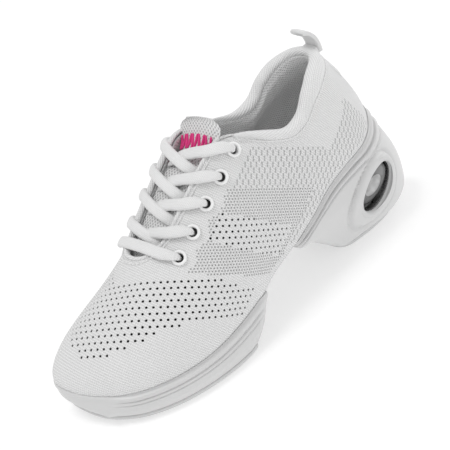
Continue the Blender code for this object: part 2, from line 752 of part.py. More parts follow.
def build_collar():
    """Foam roll of the ankle collar with its rounded crest."""
    vs = (0.625, 0.75, 0.875, 1.0)
    us = [k * COLUMN_STEP for k in range(-13, 14)]
    rings = []
    for u in us:
        tangent = (wall(u, 1.0) - wall(u, 0.96)).normalized()
        ring = [wall(u, v) - normal(wall, u, v) * STIFFENER_OUT for v in vs]
        edge = wall(u, 1.0)
        out = normal(wall, u, 1.0)
        depth = LINING_OUT - GAP + pad_depth(u, 1.0)
        ring.append(edge - out * (1.5 + (depth - 1.5) * 0.2) + tangent * 2.4)
        ring.append(edge - out * (1.5 + (depth - 1.5) * 0.75) + tangent * 2.6)
        for v in reversed(vs):
            ring.append(inner_wall(u, v) - normal(inner_wall, u, v) * (LINING_OUT - GAP + pad_depth(u, v)))
        rings.append(ring)
    m = len(rings[0])
    verts = [p for ring in rings for p in ring]
    faces = strip_faces(len(us), m, False)
    for i in range(len(us) - 1):
        a, b = i * m, (i + 1) * m
        faces.append((a + m - 1, b + m - 1, b, a))
    for base in (0, (len(us) - 1) * m):
        for i in range(m // 2 - 1):
            faces.append((base + i, base + i + 1, base + m - 2 - i, base + m - 1 - i))
    return make("collar_foam", verts, faces, "foam_white")


def build_upper(eyes):
    """Knit, stiffeners, lining and collar, cut into forefoot and heel pieces."""
    us = [k * COLUMN_STEP for k in range(72)]
    knit = shell("knit", "knit_white", wall, us, spread(0.0, 1.0, 8),
                 lambda u, v: 0.0, lambda u, v: KNIT_T, True)
    lining = shell("lining", "lining_grey", inner_wall, us, spread(0.0, 1.0, 8),
                   lambda u, v: LINING_OUT + pad_depth(u, v),
                   lambda u, v: LINING_IN + pad_depth(u, v), True)
    stays = []
    for name, first, last in (("eyelet_stay_lateral", 18, 30), ("eyelet_stay_medial", 42, 54)):
        stays.append(shell(name, "stay_white", wall, [k * COLUMN_STEP for k in range(first, last + 1)],
                           (0.75, 0.875, 0.985), lambda u, v: STIFFENER_OUT, lambda u, v: 2.2, False))
    for k, eye in enumerate(eyes):
        tool = rod("eyelet_cutter_%d" % k, eye, EYELET_CUT_R, -9.0, 4.0)
        cut(knit, tool)
        cut(lining, tool)
        cut(stays[0] if eye.at.x > 0 else stays[1], tool)
        drop(tool)
    split(knit, "knit_vamp", "knit_quarter")
    split(lining, "lining_vamp", "lining_quarter")
    for name, first, last, vs in (("toe_puff", 27, 45, (0.03, 0.125, 0.25)),
                                  ("heel_counter", -11, 11, (0.03, 0.125, 0.25, 0.375, 0.5))):
        shell(name, "stay_white", wall, [k * COLUMN_STEP for k in range(first, last + 1)], vs,
              lambda u, v: STIFFENER_OUT + GAP, lambda u, v: STIFFENER_IN, False)
    build_collar()
    binding = []
    for k in range(19, 56):
        u = k * COLUMN_STEP
        tangent = (wall(u, 1.0) - wall(u, 0.97)).normalized()
        out = normal(wall, u, 1.0)
        binding.append((wall(u, 1.0) + tangent * 1.35 - out * 1.8, out, 3.2, 1.9))
    sweep("throat_binding", "web_white", binding, 6)


def tongue_top(x, y):
    """Height of the tongue's upper face."""
    return along(TONGUE_CREST, y) - along(TONGUE_SAG, y) * ((x - 1.0) / 19.0) ** 2


def build_tongue():
    """Padded tongue and a small embroidered motif near its top."""
    ys = [-64, -60, -55, -50, -44, -37, -30, -22, -14, -6, 2, 9, 15, 19, 22, 24, 25.5]
    cross = spread(-1.0, 1.0, 10)
    top = []
    low = []
    for y in ys:
        half = along(TONGUE_HALF_W, y)
        for c in cross:
            x = 1.0 + c * half
            z = tongue_top(x, y)
            t = 1.6 + 2.6 * (1 - c * c)
            top.append(Vector((x, y, z)))
            low.append(Vector((x * 0.985, y + t * 0.5, z - t * 0.85)))
    size = len(top)
    m = len(cross)
    faces = strip_faces(len(ys), m, False)
    faces += [tuple(i + size for i in reversed(f)) for f in faces]
    for i in range(len(ys) - 1):
        for k in (0, m - 1):
            a, b = i * m + k, (i + 1) * m + k
            faces.append((a, b, b + size, a + size))
    for i in (0, len(ys) - 1):
        for k in range(m - 1):
            a = i * m + k
            faces.append((a, a + 1, a + 1 + size, a + size))
    make("tongue", top + low, faces, "tongue_mesh")

    verts = []
    ys = spread(21.6, 24.4, 3)
    xs = spread(-8.0, 10.0, 10)
    for lift in (0.4, 0.9):
        for y in ys:
            for x in xs:
                verts.append((x, y - lift * 0.9, tongue_top(x, y) + lift * 0.5))
    size = len(ys) * len(xs)
    m = len(xs)
    faces = strip_faces(len(ys), m, False)
    faces += [tuple(i + size for i in reversed(f)) for f in faces]
    for i in range(len(ys) - 1):
        for k in (0, m - 1):
            a, b = i * m + k, (i + 1) * m + k
            faces.append((a, b, b + size, a + size))
    for i in (0, len(ys) - 1):
        for k in range(m - 1):
            a = i * m + k
            faces.append((a, a + 1, a + 1 + size, a + size))
    make("tongue_motif", verts, faces, "motif_pink")


def build_eyelets(lateral, medial):
    """Moulded eyelets: rounded flange outside, barrel through all layers."""
    profile = ((EYELET_HOLE_R, -4.3), (EYELET_HOLE_R, 1.35), (EYELET_FLANGE_R - 0.6, 1.35),
               (EYELET_FLANGE_R, 0.55), (EYELET_BARREL_R, 0.55), (EYELET_BARREL_R, -4.3))
    for side, eyes in (("lateral", lateral), ("medial", medial)):
        for k, eye in enumerate(eyes):
            lathe("eyelet_%s_%d" % (side, k + 1), "eyelet_white", eye, profile)


def skin(u, v, height):
    """Point at a height above the outer skin, carried straight on beyond the top line."""
    p = wall(u, min(v, 1.0))
    if v > 1.0:
        p += (wall(u, 1.0) - wall(u, 0.9)) * (v - 1.0) * 10.0
    return p + normal(wall, u, min(v, 1.0)) * height


def through(eye, tuck_u):
    """Lace knots of one eyelet, from under the throat edge at tuck_u to above the flange."""
    w, t, r = LACE_W, LACE_FLAT_T, LACE_ROUND_D
    rest = 1.0 - eye.v
    plan = ((tuck_u, 1.0, -5.9, w, t), (0.5 * tuck_u + 0.5 * eye.u, eye.v + 0.6 * rest, -6.3, w, t),
            (eye.u, eye.v + 0.22 * rest, -6.7, 4.4, 2.2), (eye.u, eye.v + 0.03 * rest, -5.9, r, r * 0.9),
            (eye.u, eye.v, -2.4, r, r), (eye.u, eye.v, 0.8, r, r),
            (eye.u, eye.v + 0.04 * rest, 2.6, r, r), (eye.u, eye.v + 0.22 * rest, 3.9, 4.4, 2.8),
            (eye.u, eye.v + 0.5 * rest, 3.4, w, LACE_T), (eye.u, eye.v + 0.8 * rest, 3.6, w, LACE_T),
            (eye.u, 1.005, 3.6, w, LACE_T), (eye.u, 1.04, 2.7, w, LACE_T))
    return [(skin(u, v, h), eye.row, width, thick) for u, v, h, width, thick in plan]


class Throat:
    """Both throat edges, read by eyelet level: level k is eyelet row k, counted from the top."""

    def __init__(self, lateral, medial):
        self.sides = (lateral, medial)

    def column(self, side, level):
        """Wall parameter u of a level on one side."""
        eyes = self.sides[side]
        k = min(int(level), len(eyes) - 2)
        return eyes[k].u + (eyes[k + 1].u - eyes[k].u) * (level - k)

    def knot(self, across, level, height, width, thick):
        """Lace knot over the throat; across runs from 0 at the lateral edge to 1 at the medial edge."""
        ends = [self.column(side, level) for side in (0, 1)]
        a, b = skin(ends[0], 1.0, 0.0), skin(ends[1], 1.0, 0.0)
        up = normal(wall, ends[0], 1.0).lerp(normal(wall, ends[1], 1.0), across).normalized()
        row = (self.sides[0][0].row + self.sides[1][0].row).normalized()
        return a.lerp(b, across) + up * height, row, width, thick

    def strand(self, side, k):
        """From over the edge at eyelet k of one side to just before the other edge, one level down."""
        high = side == 1
        if not high:
            plan = ((0.2, 0.0, 1.2, LACE_T), (0.35, 0.05, -0.9, LACE_T),
                    (0.6, 0.45, -2.2, LACE_T), (0.86, 0.85, -5.0, 2.2))
        else:
            plan = ((0.18, 0.2, 3.1, LACE_T), (0.34, 0.5, 3.4, LACE_T),
                    (0.54, 0.78, 2.5, LACE_T), (0.7, 0.97, -1.6, LACE_T), (0.86, 1.0, -5.2, 2.2))
        return [self.knot(t if side == 0 else 1.0 - t, k + drop * TUCK_LEVEL, h, LACE_W, thick)
                for t, drop, h, thick in plan]

    def tuck(self, side, k):
        """Where the strand bound for eyelet k of one side passes under that side's edge."""
        return self.column(side, k - 1 + TUCK_LEVEL)


def tail(eye):
    """Lace end tucked down inside the shoe beside the tongue, starting below its eyelet."""
    plan = ((0.0, -6.4, 3.4, 2.6), (-0.06, -8.0, 4.4, 2.2), (-0.13, -9.2, 4.8, 2.2),
            (-0.2, -10.2, 4.8, 2.2))
    return [(skin(eye.u + 0.1 * k, eye.v + dv, h), eye.row, w, t)
            for k, (dv, h, w, t) in enumerate(plan)]


def build_lace(lateral, medial):
    """One oval lace: bar over the bottom pair, criss-cross above, both ends tucked inside."""
    eyes = (lateral, medial)
    throat = Throat(lateral, medial)
    knots = list(reversed(tail(lateral[0]))) + through(lateral[0], lateral[0].u)[4:]
    for k in range(4):
        side = k % 2
        knots += throat.strand(side, k)
        knots += through(eyes[1 - side][k + 1], throat.tuck(1 - side, k + 1))
    knots += [throat.knot(t, 4.0, 2.6, LACE_W, LACE_T) for t in (0.25, 0.5, 0.75)]
    back = list(through(medial[4], throat.tuck(1, 4)))
    knots += list(reversed(back))
    for k in (3, 2, 1, 0):
        side = (k + 1) % 2
        knots += list(reversed(throat.strand(side, k)))
        turn = through(eyes[side][k], throat.tuck(side, k) if k else eyes[side][k].u)
        knots += list(reversed(turn if k else turn[4:]))
    knots += tail(medial[0])
    stations = smooth_stations(knots, 6.0)
    sweep("shoelace", "lace_white", stations, 6)
    for name, pair in (("aglet_lateral", stations[:2]), ("aglet_medial", list(reversed(stations[-2:])))):
        tip, inner = pair
        d = (tip[0] - inner[0]).normalized()
        core = [(tip[0] + d * (0.4 + 3.0 * k), tip[1], 2.6, 2.6) for k in range(4)]
        sweep(name, "aglet_clear", core)


def build_pull_tab():
    """Sewn back tape and the folded finger loop standing above the collar."""
    tape = []
    for v in spread(0.52, 0.97, 7):
        p = wall(0.0, v)
        out = normal(wall, 0.0, v)
        tape.append((p + out * (GAP + 1.0), Vector((1, 0, 0)), 13.0, 1.6))
    sweep("back_tape", "web_white", tape, 12)
    path = ((0, 106.2, 116.6), (0, 106.2, 119.5), (0, 105.0, 123), (0, 102.6, 126.2), (0, 99.8, 128.4))
    stations = [(Vector(p), Vector((1, 0, 0)), 11.0, 2.4) for p in path]
    stations.append((Vector((0, 98.4, 129.2)), Vector((1, 0, 0)), 9.0, 1.6))
    sweep("pull_tab", "web_white", smooth_stations(stations, 2.0), 12)


def pivot_of(name):
    """Design point a piece turns about; the forefoot pieces stay on the common origin."""
    if name in ("tongue", "tongue_motif"):
        return Vector((0.0, TONGUE_SEAM_Y, TONGUE_SEAM_Z)) * MM
    if name == "pull_tab":
        return Vector(PULL_TAB_SEAM) * MM
    if name in HEEL_PIECES:
        return Vector((0.0, HINGE_Y, HINGE_Z)) * MM
    return None


def finish():
    """Ground the shoe, centre it, shade it and put moving pieces on their joint axes."""
    objects = [o for o in bpy.data.objects if o.type == "MESH"]
    lows = [min(v.co[k] for o in objects for v in o.data.vertices) for k in range(3)]
    highs = [max(v.co[k] for o in objects for v in o.data.vertices) for k in range(3)]
    shift = Vector((-(lows[0] + highs[0]) / 2, -(lows[1] + highs[1]) / 2, -lows[2]))
    for o in objects:
        pivot = pivot_of(o.name)
        o.location = pivot + shift if pivot else Vector((0.0, 0.0, 0.0))
        move = shift - o.location
        for v in o.data.vertices:
            v.co += move
        o.data.update()
        o.data.shade_smooth()
        o.data.set_sharp_from_angle(angle=SMOOTH_ANGLE)
    bpy.context.view_layer.update()
    print("origin moved by (mm):", [round(c / MM, 4) for c in shift])
    print("size (mm):", [round((b - a) / MM, 2) for a, b in zip(lows, highs)])


def main():
    """Build every piece."""
    for obj in list(bpy.data.objects):
        bpy.data.objects.remove(obj, do_unlink=True)
    lateral = [Eye(p) for p in EYELETS_LATERAL]
    medial = [Eye(p) for p in EYELETS_MEDIAL]
    build_forefoot_sole()
    build_heel_sole()
    build_footbed()
    build_arch()
    build_upper(lateral + medial)
    build_tongue()
    build_eyelets(lateral, medial)
    build_lace(lateral, medial)
    build_pull_tab()
    finish()


main()
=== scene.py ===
"""Looks of the split-sole knitted cheer shoe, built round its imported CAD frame.

Design lengths are millimetres in the part's design frame; place() turns them into the row frame.
"""
import math

import bmesh
import bpy
import numpy as np
from mathutils import Matrix, Vector
from mathutils.bvhtree import BVHTree


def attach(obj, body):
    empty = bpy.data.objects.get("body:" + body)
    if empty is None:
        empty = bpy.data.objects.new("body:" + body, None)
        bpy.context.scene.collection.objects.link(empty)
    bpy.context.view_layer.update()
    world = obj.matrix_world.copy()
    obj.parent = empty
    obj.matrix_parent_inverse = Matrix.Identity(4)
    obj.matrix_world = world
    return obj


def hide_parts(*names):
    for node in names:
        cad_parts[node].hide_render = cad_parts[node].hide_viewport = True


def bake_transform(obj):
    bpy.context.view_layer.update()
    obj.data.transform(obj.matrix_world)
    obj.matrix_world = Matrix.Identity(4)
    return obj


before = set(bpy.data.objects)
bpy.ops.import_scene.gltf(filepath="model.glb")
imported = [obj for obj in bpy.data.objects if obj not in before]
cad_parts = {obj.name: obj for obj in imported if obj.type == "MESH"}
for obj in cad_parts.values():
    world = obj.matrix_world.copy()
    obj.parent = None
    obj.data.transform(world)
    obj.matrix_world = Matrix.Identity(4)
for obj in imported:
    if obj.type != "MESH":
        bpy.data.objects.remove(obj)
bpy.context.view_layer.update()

MM = 0.001
SHIFT = np.array((-1.0643, -9.3565, 0.0347))      # design frame to row frame
# Columns of the upper round the foot, (x, y, z) each: foot line, top line, low and high handle.
COLUMNS = np.array((
    (0, 125, 64, 0, 103, 115.5, 0, -2, 20, 0, 8, -13),
    (14.5, 115.5, 59, 12, 98.5, 114.5, 0.5, -1, 20, 3, 4, -18),
    (25, 100, 57, 20, 87.5, 111, 1.5, 0, 16, 4, 3, -18),
    (30, 82, 56, 24, 77, 105, 2, 0, 14, 4, 1, -16),
    (31.5, 64, 51, 27, 66, 97, 2, 0, 14, 4, 0, -14),
    (33, 46, 42, 28, 54, 95, 2, 0, 17, 5, 0, -16),
    (33.5, 28, 35, 26.5, 41, 100.5, 3, 0, 20, 6, -2, -18),
    (35.5, 10, 30, 23.5, 27, 108.5, 4, 2, 22, 9, -3, -18),
    (40.5, -7, 25.5, 20, 13, 112, 3, 2, 24, 12, -3, -15),
    (43.5, -24, 22, 18, 0, 104, 3, 2, 22, 14, -3, -13),
    (45, -42, 19, 17.3, -13, 94.5, 3, 2, 20, 15, -4, -13),
    (44, -60, 17.5, 16.6, -26, 84.5, 3, 0, 20, 15, -6, -12),
    (39, -79, 17, 15, -38, 76, 3, -2, 20, 13, -11, -10),
    (29, -97, 17.5, 11, -47.5, 72.3, 2, -3, 19, 9, -20, -12),
    (14, -109.5, 19.5, 6, -52, 71, 1, -3, 17, 4, -25, -16),
    (-2, -116.5, 21.5, 0, -53.5, 70.8, 0, -3, 15, 0, -27, -19),
    (-18, -116.5, 23.5, -6, -52.5, 71, -1, -2, 14, -3, -24, -20),
    (-32, -102, 23, -11, -48.5, 71.5, -2, -2, 15, -6, -18, -21),
    (-40, -84, 21, -14.5, -41, 74.5, -2, -1, 16, -8, -10, -21),
    (-43, -66, 20, -16, -31, 81.5, -2, 0, 17, -8, -6, -22),
    (-43, -48, 20, -16.5, -19, 90.5, -2, 2, 18, -9, -4, -22),
    (-40.5, -28, 22, -17, -6, 100.5, -2, 2, 20, -9, -3, -22),
    (-36.5, -9, 26, -18.5, 9, 109, -2, 2, 22, -9, -3, -22),
    (-33, 10, 31.5, -21, 25, 106, -3, 2, 22, -8, -3, -20),
    (-31, 28, 38, -23.5, 42, 98, -3, 0, 20, -6, -2, -18),
    (-30, 46, 45, -26, 56, 93.5, -2, 0, 17, -5, 0, -15),
    (-29.5, 64, 52, -26, 68, 96, -2, 0, 14, -4, 0, -14),
    (-28.5, 82, 56, -24, 77, 104.5, -2, 0, 14, -4, 1, -16),
    (-24, 100, 57, -20, 87.5, 111, -1.5, 0, 16, -4, 3, -18),
    (-14, 115.5, 59, -12, 98.5, 114.5, -0.5, -1, 20, -3, 4, -18),
), float)
N_COL = len(COLUMNS)
COLUMN_STEP = N_COL / 72.0
# (y, z) of the footbed.
FOOTBED = ((-130, 12), (-110, 10.5), (-90, 9), (-60, 8.5), (-40, 10), (-20, 15.5), (0, 23.5),
           (18, 31), (32, 35.5), (50, 41), (70, 45), (95, 47), (135, 48))
# Lower edge of the forefoot unit.
FORE_BOTTOM = ((0, -17, 2.6), (29, -17.5, 2.6), (40, -19, 2.6), (43.5, -24, 2.6), (45.5, -34, 2.6),
               (46, -46, 2.6), (44.5, -62, 2.6), (39.5, -80, 2.8), (29.5, -97, 3.6),
               (15, -109.5, 5.8), (-2, -114, 8.2), (-17.5, -113, 8.8), (-31, -102, 6.0),
               (-40, -85, 3.2), (-43, -67, 2.6), (-43, -50, 2.6), (-41.5, -35, 2.6),
               (-39, -25, 2.6), (-35, -19, 2.6), (-25, -17.5, 2.6))
FORE_REAR_Y = -4.0
FORE_CENTRE = np.array((1.0, -60.0, 0.0))
RIM_KNOTS = 48                                    # knots round the rim of a sole unit
CUP_GAP = 0.9                                     # footbed to cup rim
# Lateral half of the heel unit's rings, from the ground up.
HEEL_RINGS = (
    ((0, 125, 2.8), (9.5, 120, 2.8), (16.5, 108, 2.8), (19, 94, 2.8), (19, 82, 2.8),
     (18, 74, 2.8), (14, 69.5, 2.8), (7, 68, 2.8), (0, 67.5, 2.8)),
    ((0, 135, 9), (14, 127.5, 9), (23.5, 112, 9), (26.5, 96, 9), (26.5, 81, 9), (26, 71, 8.5),
     (25, 65, 8), (14, 62, 8), (0, 61.5, 8)),
    ((0, 137.5, 20), (16, 128.5, 20), (26.5, 112, 20), (30, 96, 20), (30, 80, 20), (29, 65, 19),
     (28, 55, 17), (16, 52.5, 17), (0, 52, 17)),
    ((0, 136, 33), (16, 127.5, 33), (27, 111, 33), (31, 95, 33), (32, 79, 33), (32, 60, 31),
     (31.5, 44, 27.5), (19, 41.5, 26.3), (0, 41, 26)),
    ((0, 131.5, 47), (15.5, 122.5, 47), (26.5, 106, 47), (30.5, 90, 47), (32, 71, 44),
     (33, 52.5, 37.5), (33, 35, 30.5), (23, 33, 29.3), (0, 32.5, 29)),
)
HEEL_FRONT_Y = 26.0
HEEL_KNEE = 6.3
# Tongue by y: height of its crest, half width and sag of its sides.
TONGUE_CREST = ((-64, 57), (-56, 63), (-50, 67), (-44, 70.8), (-35, 76), (-22, 85.8),
                (-9, 95), (2, 101.3), (7, 104), (11, 108.5), (14.5, 114.5), (17.5, 121))
TONGUE_HALF_W = ((-64, 11), (-50, 14), (-30, 18), (-6, 19.8), (6, 19.6), (12, 18.6), (14.5, 20.2),
                 (15.6, 20.8), (16.6, 19.8), (17.2, 17.0), (17.5, 14.0))
TONGUE_SAG = ((-64, 10), (-50, 6), (-30, 2), (0, 2), (8, 5), (12, 4.5), (14, 2.4), (17.5, 2))
# (u, v) of the eyelets from the bottom row up, lateral and medial.
EYES = (((7.57, 0.89), (8.49, 0.795), (9.54, 0.80), (10.5, 0.785), (11.32, 0.755)),
        ((22.38, 0.857), (21.6, 0.785), (20.7, 0.773), (19.8, 0.762), (18.91, 0.765)))
EYE_SPOTS = EYES[0] + EYES[1]
LINING_OUT, LINING_IN = 2.9, 3.6                  # depth of both lining faces under its guide
GUIDE_INSET, GUIDE_RISE = 5.4, 6.9                # foot of the guide inside the foot line
WINDOW_Y, WINDOW_Z, WINDOW_TILT = 98.0, 30.5, math.radians(25.0)
WINDOW_LONG, WINDOW_SHORT = 15.8, 9.1


def place(points):
    """Design millimetres to row-frame metres."""
    return (np.asarray(points, float) + SHIFT) * MM


def smooth_step(a, b, x):
    """0 before a, 1 after b."""
    t = np.clip((np.asarray(x, float) - a) / (b - a), 0.0, 1.0)
    return t * t * (3 - 2 * t)


def unit(v):
    """Vectors scaled to length 1."""
    return v / np.linalg.norm(v, axis=-1, keepdims=True)


def turns(n):
    """n even angles of a full turn."""
    return np.arange(n) * 2 * math.pi / n


def span(a, b, slope_a, slope_b, h, t):
    """Cubic between two values a distance h apart, with their slopes."""
    return ((2 * t ** 3 - 3 * t * t + 1) * a + (t ** 3 - 2 * t * t + t) * h * slope_a
            + (3 * t * t - 2 * t ** 3) * b + (t ** 3 - t * t) * h * slope_b)


def bump_at(x, centre, width):
    """Soft bump of height 1 at centre."""
    return np.exp(-((np.asarray(x, float) - centre) / width) ** 2)


def catmull(p0, p1, p2, p3, t):
    """Catmull-Rom between p1 and p2."""
    return 0.5 * (2 * p1 + (p2 - p0) * t + (2 * p0 - 5 * p1 + 4 * p2 - p3) * t ** 2
                  + (3 * p1 - p0 - 3 * p2 + p3) * t ** 3)


def ring_at(points, s):
    """Smooth closed curve through the points at parameters s."""
    pts = np.asarray(points, float)
    s = np.asarray(s, float)
    i = np.floor(s).astype(int)
    return catmull(*(pts[(i + k) % len(pts)] for k in (-1, 0, 1, 2)), (s - i)[..., None])


def line_at(points, s):
    """Smooth open curve through the points at parameters s."""
    pts = np.asarray(points, float)
    pts = np.concatenate([2 * pts[:1] - pts[1:2], pts, 2 * pts[-1:] - pts[-2:-1]])
    s = np.clip(np.asarray(s, float), 0.0, len(pts) - 3.0)
    i = np.minimum(np.floor(s).astype(int), len(pts) - 4)
    t = (s - i).reshape(s.shape + (1,) * (pts.ndim - 1))
    return catmull(pts[i], pts[i + 1], pts[i + 2], pts[i + 3], t)


def table_at(table, x):
    """Smooth value of an (x, value) table, flat beyond both ends."""
    xs, ys = (np.array(c, float) for c in zip(*table))
    x = np.asarray(x, float)
    slope = np.zeros(len(xs))
    for k in range(len(xs)):
        a, b = max(k - 1, 0), min(k + 1, len(xs) - 1)
        slope[k] = (ys[b] - ys[a]) / (xs[b] - xs[a])
    c = np.clip(x, xs[0], xs[-1])
    k = np.clip(np.searchsorted(xs, c, side="left") - 1, 0, len(xs) - 2)
    h = xs[k + 1] - xs[k]
    return span(ys[k], ys[k + 1], slope[k], slope[k + 1], h, (c - xs[k]) / h)


def column(u):
    """Foot, top and both handles of the upper at u."""
    c = ring_at(COLUMNS, u)
    return c[..., 0:3], c[..., 3:6], c[..., 6:9], c[..., 9:12]


def bezier(a, b, c, d, v):
    """Cubic Bezier curve."""
    w = 1.0 - v
    return a * w ** 3 + b * 3 * w * w * v + c * 3 * w * v * v + d * v ** 3


def wall(u, v):
    """Outer skin of the upper: v 0 at the sole, 1 at the top line."""
    foot, top, low, high = column(u)
    return bezier(foot, foot + low, top + high, top, np.asarray(v, float)[..., None])


def foot_line(u, inset=0.0):
    """Foot line of the upper moved inward."""
    u = np.asarray(u, float)
    t = column(u + 0.25)[0] - column(u - 0.25)[0]
    n = np.stack([t[..., 1], -t[..., 0], 0 * t[..., 0]], -1)
    return column(u)[0] + unit(n) * inset


def inner_wall(u, v):
    """Guide surface of the lining."""
    _, top, low, high = column(u)
    foot = foot_line(u, GUIDE_INSET)
    foot[..., 2] = table_at(FOOTBED, foot[..., 1]) + GUIDE_RISE
    return bezier(foot, foot + low * 0.8, top + high, top, np.asarray(v, float)[..., None])


def normal_of(surface, u, v):
    """Outward unit normal of a wall surface."""
    u, v = np.broadcast_arrays(np.asarray(u, float), np.asarray(v, float))
    du = surface(u + 0.06, v) - surface(u - 0.06, v)
    dv = surface(u, np.minimum(v + 0.02, 1)) - surface(u, np.maximum(v - 0.02, 0))
    n = np.cross(dv, du)
    n = n / (np.linalg.norm(n, axis=-1, keepdims=True) + 1e-12)
    p = surface(u, v)
    radial = p - np.stack([0 * p[..., 0], p[..., 1] * 0.55, 0 * p[..., 0] + 30.0], -1)
    return n * np.where((n * radial).sum(-1, keepdims=True) > 0, 1.0, -1.0)


def skin(u, v, height):
    """Point above the outer skin, carried straight on beyond the top line."""
    u, v = np.broadcast_arrays(np.asarray(u, float), np.asarray(v, float))
    p = wall(u, np.minimum(v, 1.0))
    beyond = np.maximum(v - 1.0, 0)[..., None] * 10
    p = p + (wall(u, np.ones_like(v)) - wall(u, 0.9 + 0 * v)) * beyond
    return p + normal_of(wall, u, np.minimum(v, 1.0)) * np.asarray(height, float)[..., None]


def round_heel(u):
    """Distance in columns from the back of the heel."""
    d = np.asarray(u, float) % N_COL
    return np.minimum(d, N_COL - d)


def pad_depth(u, v):
    """Extra depth of the lining behind the collar foam."""
    d = round_heel(u)
    weight = np.clip((6.0 - d) / 1.6, 0.0, 1.0)
    back = 0.45 + 0.55 * smooth_step(0.4, 2.4, d)
    return 6.0 * back * weight * smooth_step(0.52, 0.82, v) * (1 - 0.35 * smooth_step(0.9, 1.0, v))


# ---------------------------------------------------------------- materials

class Nodes:
    """Small helper that writes one procedural material."""

    def __init__(self, name):
        self.mat = bpy.data.materials.new(name)
        self.mat.use_nodes = True
        self.tree = self.mat.node_tree
        self.shader = self.tree.nodes["Principled BSDF"]
        self._uv = None

    def link(self, source, socket):
        """Connects an output, or sets a plain value."""
        if isinstance(source, (int, float)):
            socket.default_value = source
        elif isinstance(source, tuple):
            socket.default_value = (*source, 1.0)
        else:
            self.tree.links.new(source, socket)

    def uv(self):
        """Pattern coordinates in millimetres: (x, y)."""
        if self._uv is None:
            node = self.tree.nodes.new("ShaderNodeUVMap")
            node.uv_map = "pattern"
            split = self.tree.nodes.new("ShaderNodeSeparateXYZ")
            self.tree.links.new(node.outputs[0], split.inputs[0])
            self._uv = (split.outputs[0], split.outputs[1])
        return self._uv

    def calc(self, op, a, b=0.0, c=0.0, clamp=False):
        """Math node."""
        node = self.tree.nodes.new("ShaderNodeMath")
        node.operation = op
        node.use_clamp = clamp
        for value, socket in zip((a, b, c), node.inputs):
            self.link(value, socket)
        return node.outputs[0]

    def wave(self, x, period, shift=0.0):
        """0 to 1 sine of x with a period."""
        angle = self.calc("MULTIPLY_ADD", x, 2 * math.pi / period, shift)
        return self.calc("MULTIPLY_ADD", self.calc("SINE", angle), 0.5, 0.5)

    def tri(self, x, period):
        """0 to 1 triangle wave."""
        return self.calc("DIVIDE", self.calc("PINGPONG", x, period / 2), period / 2)

    def ramp(self, x, low, high, out_low=0.0, out_high=1.0):
        """Clamped linear map."""
        node = self.tree.nodes.new("ShaderNodeMapRange")
        for value, socket in zip((x, low, high, out_low, out_high), node.inputs):
            self.link(value, socket)
        return node.outputs[0]

    def noise(self, scale, detail=3.0, rough=0.6):
        """Noise over the object's own coordinates; scale is per metre."""
        coords = self.tree.nodes.new("ShaderNodeTexCoord")
        node = self.tree.nodes.new("ShaderNodeTexNoise")
        self.tree.links.new(coords.outputs["Object"], node.inputs["Vector"])
        node.inputs["Scale"].default_value = scale
        node.inputs["Detail"].default_value = detail
        node.inputs["Roughness"].default_value = rough
        return node.outputs[0]

    def blend(self, factor, a, b):
        """Colour mix."""
        node = self.tree.nodes.new("ShaderNodeMix")
        node.data_type = "RGBA"
        self.link(factor, node.inputs[0])
        self.link(a, node.inputs[6])
        self.link(b, node.inputs[7])
        return node.outputs[2]

    def finish(self, colour, rough, height=None, depth=0.0002, strength=1.0, **constants):
        """Wires colour, roughness and bump; other sockets get constants."""
        self.link(colour, self.shader.inputs["Base Color"])
        self.link(rough, self.shader.inputs["Roughness"])
        if height is not None:
            node = self.tree.nodes.new("ShaderNodeBump")
            node.inputs["Strength"].default_value = strength
            node.inputs["Distance"].default_value = depth
            self.link(height, node.inputs["Height"])
            self.tree.links.new(node.outputs[0], self.shader.inputs["Normal"])
        for key, value in constants.items():
            self.shader.inputs[key.replace("_", " ")].default_value = value
        return self.mat


def grey(value):
    """Neutral colour."""
    return (value, value, value)


def knit_material(name, light, dark, wale=1.2, course=1.0, depth=0.00022):
    """Fine rib knit: slanted ribs crossed by small stitches."""
    n = Nodes(name)
    x, y = n.uv()
    rib = n.wave(n.calc("MULTIPLY_ADD", x, 0.5, y), course * 1.15)
    stitch = n.wave(n.calc("MULTIPLY_ADD", y, -0.5, x), wale)
    fibre = n.noise(5200.0, 2.0)
    height = n.calc("MULTIPLY_ADD", rib, 0.6, n.calc("MULTIPLY_ADD", stitch, 0.3,
                                                    n.calc("MULTIPLY", fibre, 0.2)))
    cloud = n.noise(38.0, 3.0)
    # Colour follows the bump height: painted shade in the grooves, lighter tops; the cloud adds
    # random tone.
    tone = n.ramp(n.calc("MULTIPLY_ADD", cloud, 0.25, height), 0.15, 1.0)
    return n.finish(n.blend(tone, dark, light), n.ramp(height, 0.0, 1.1, 0.94, 0.78), height,
                    depth, 1.0, Sheen_Weight=0.15, Sheen_Roughness=0.6)


def mesh_material(name, light, dark, pitch_x, pitch_y, depth=0.0004):
    """Spacer mesh: staggered openings between knitted walls."""
    n = Nodes(name)
    x, y = n.uv()
    cx = n.calc("COSINE", n.calc("MULTIPLY", x, 2 * math.pi / pitch_x))
    cy = n.calc("COSINE", n.calc("MULTIPLY", y, 2 * math.pi / pitch_y))
    hole = n.ramp(n.calc("MULTIPLY", cx, cy), 0.18, 0.72)
    thread = n.wave(n.calc("ADD", x, n.calc("MULTIPLY", y, 0.6)), 0.55)
    height = n.calc("SUBTRACT", n.calc("MULTIPLY_ADD", thread, 0.18, 1.0), hole)
    # The openings are darker than the threads: painted shade in them; the noise adds random tone.
    tone = n.calc("MULTIPLY_ADD", n.noise(60.0), 0.3, n.calc("MULTIPLY", hole, 0.85), True)
    return n.finish(n.blend(tone, light, dark), n.ramp(hole, 0, 1, 0.8, 0.95), height, depth, 1.0,
                    Sheen_Weight=0.2, Sheen_Roughness=0.5)


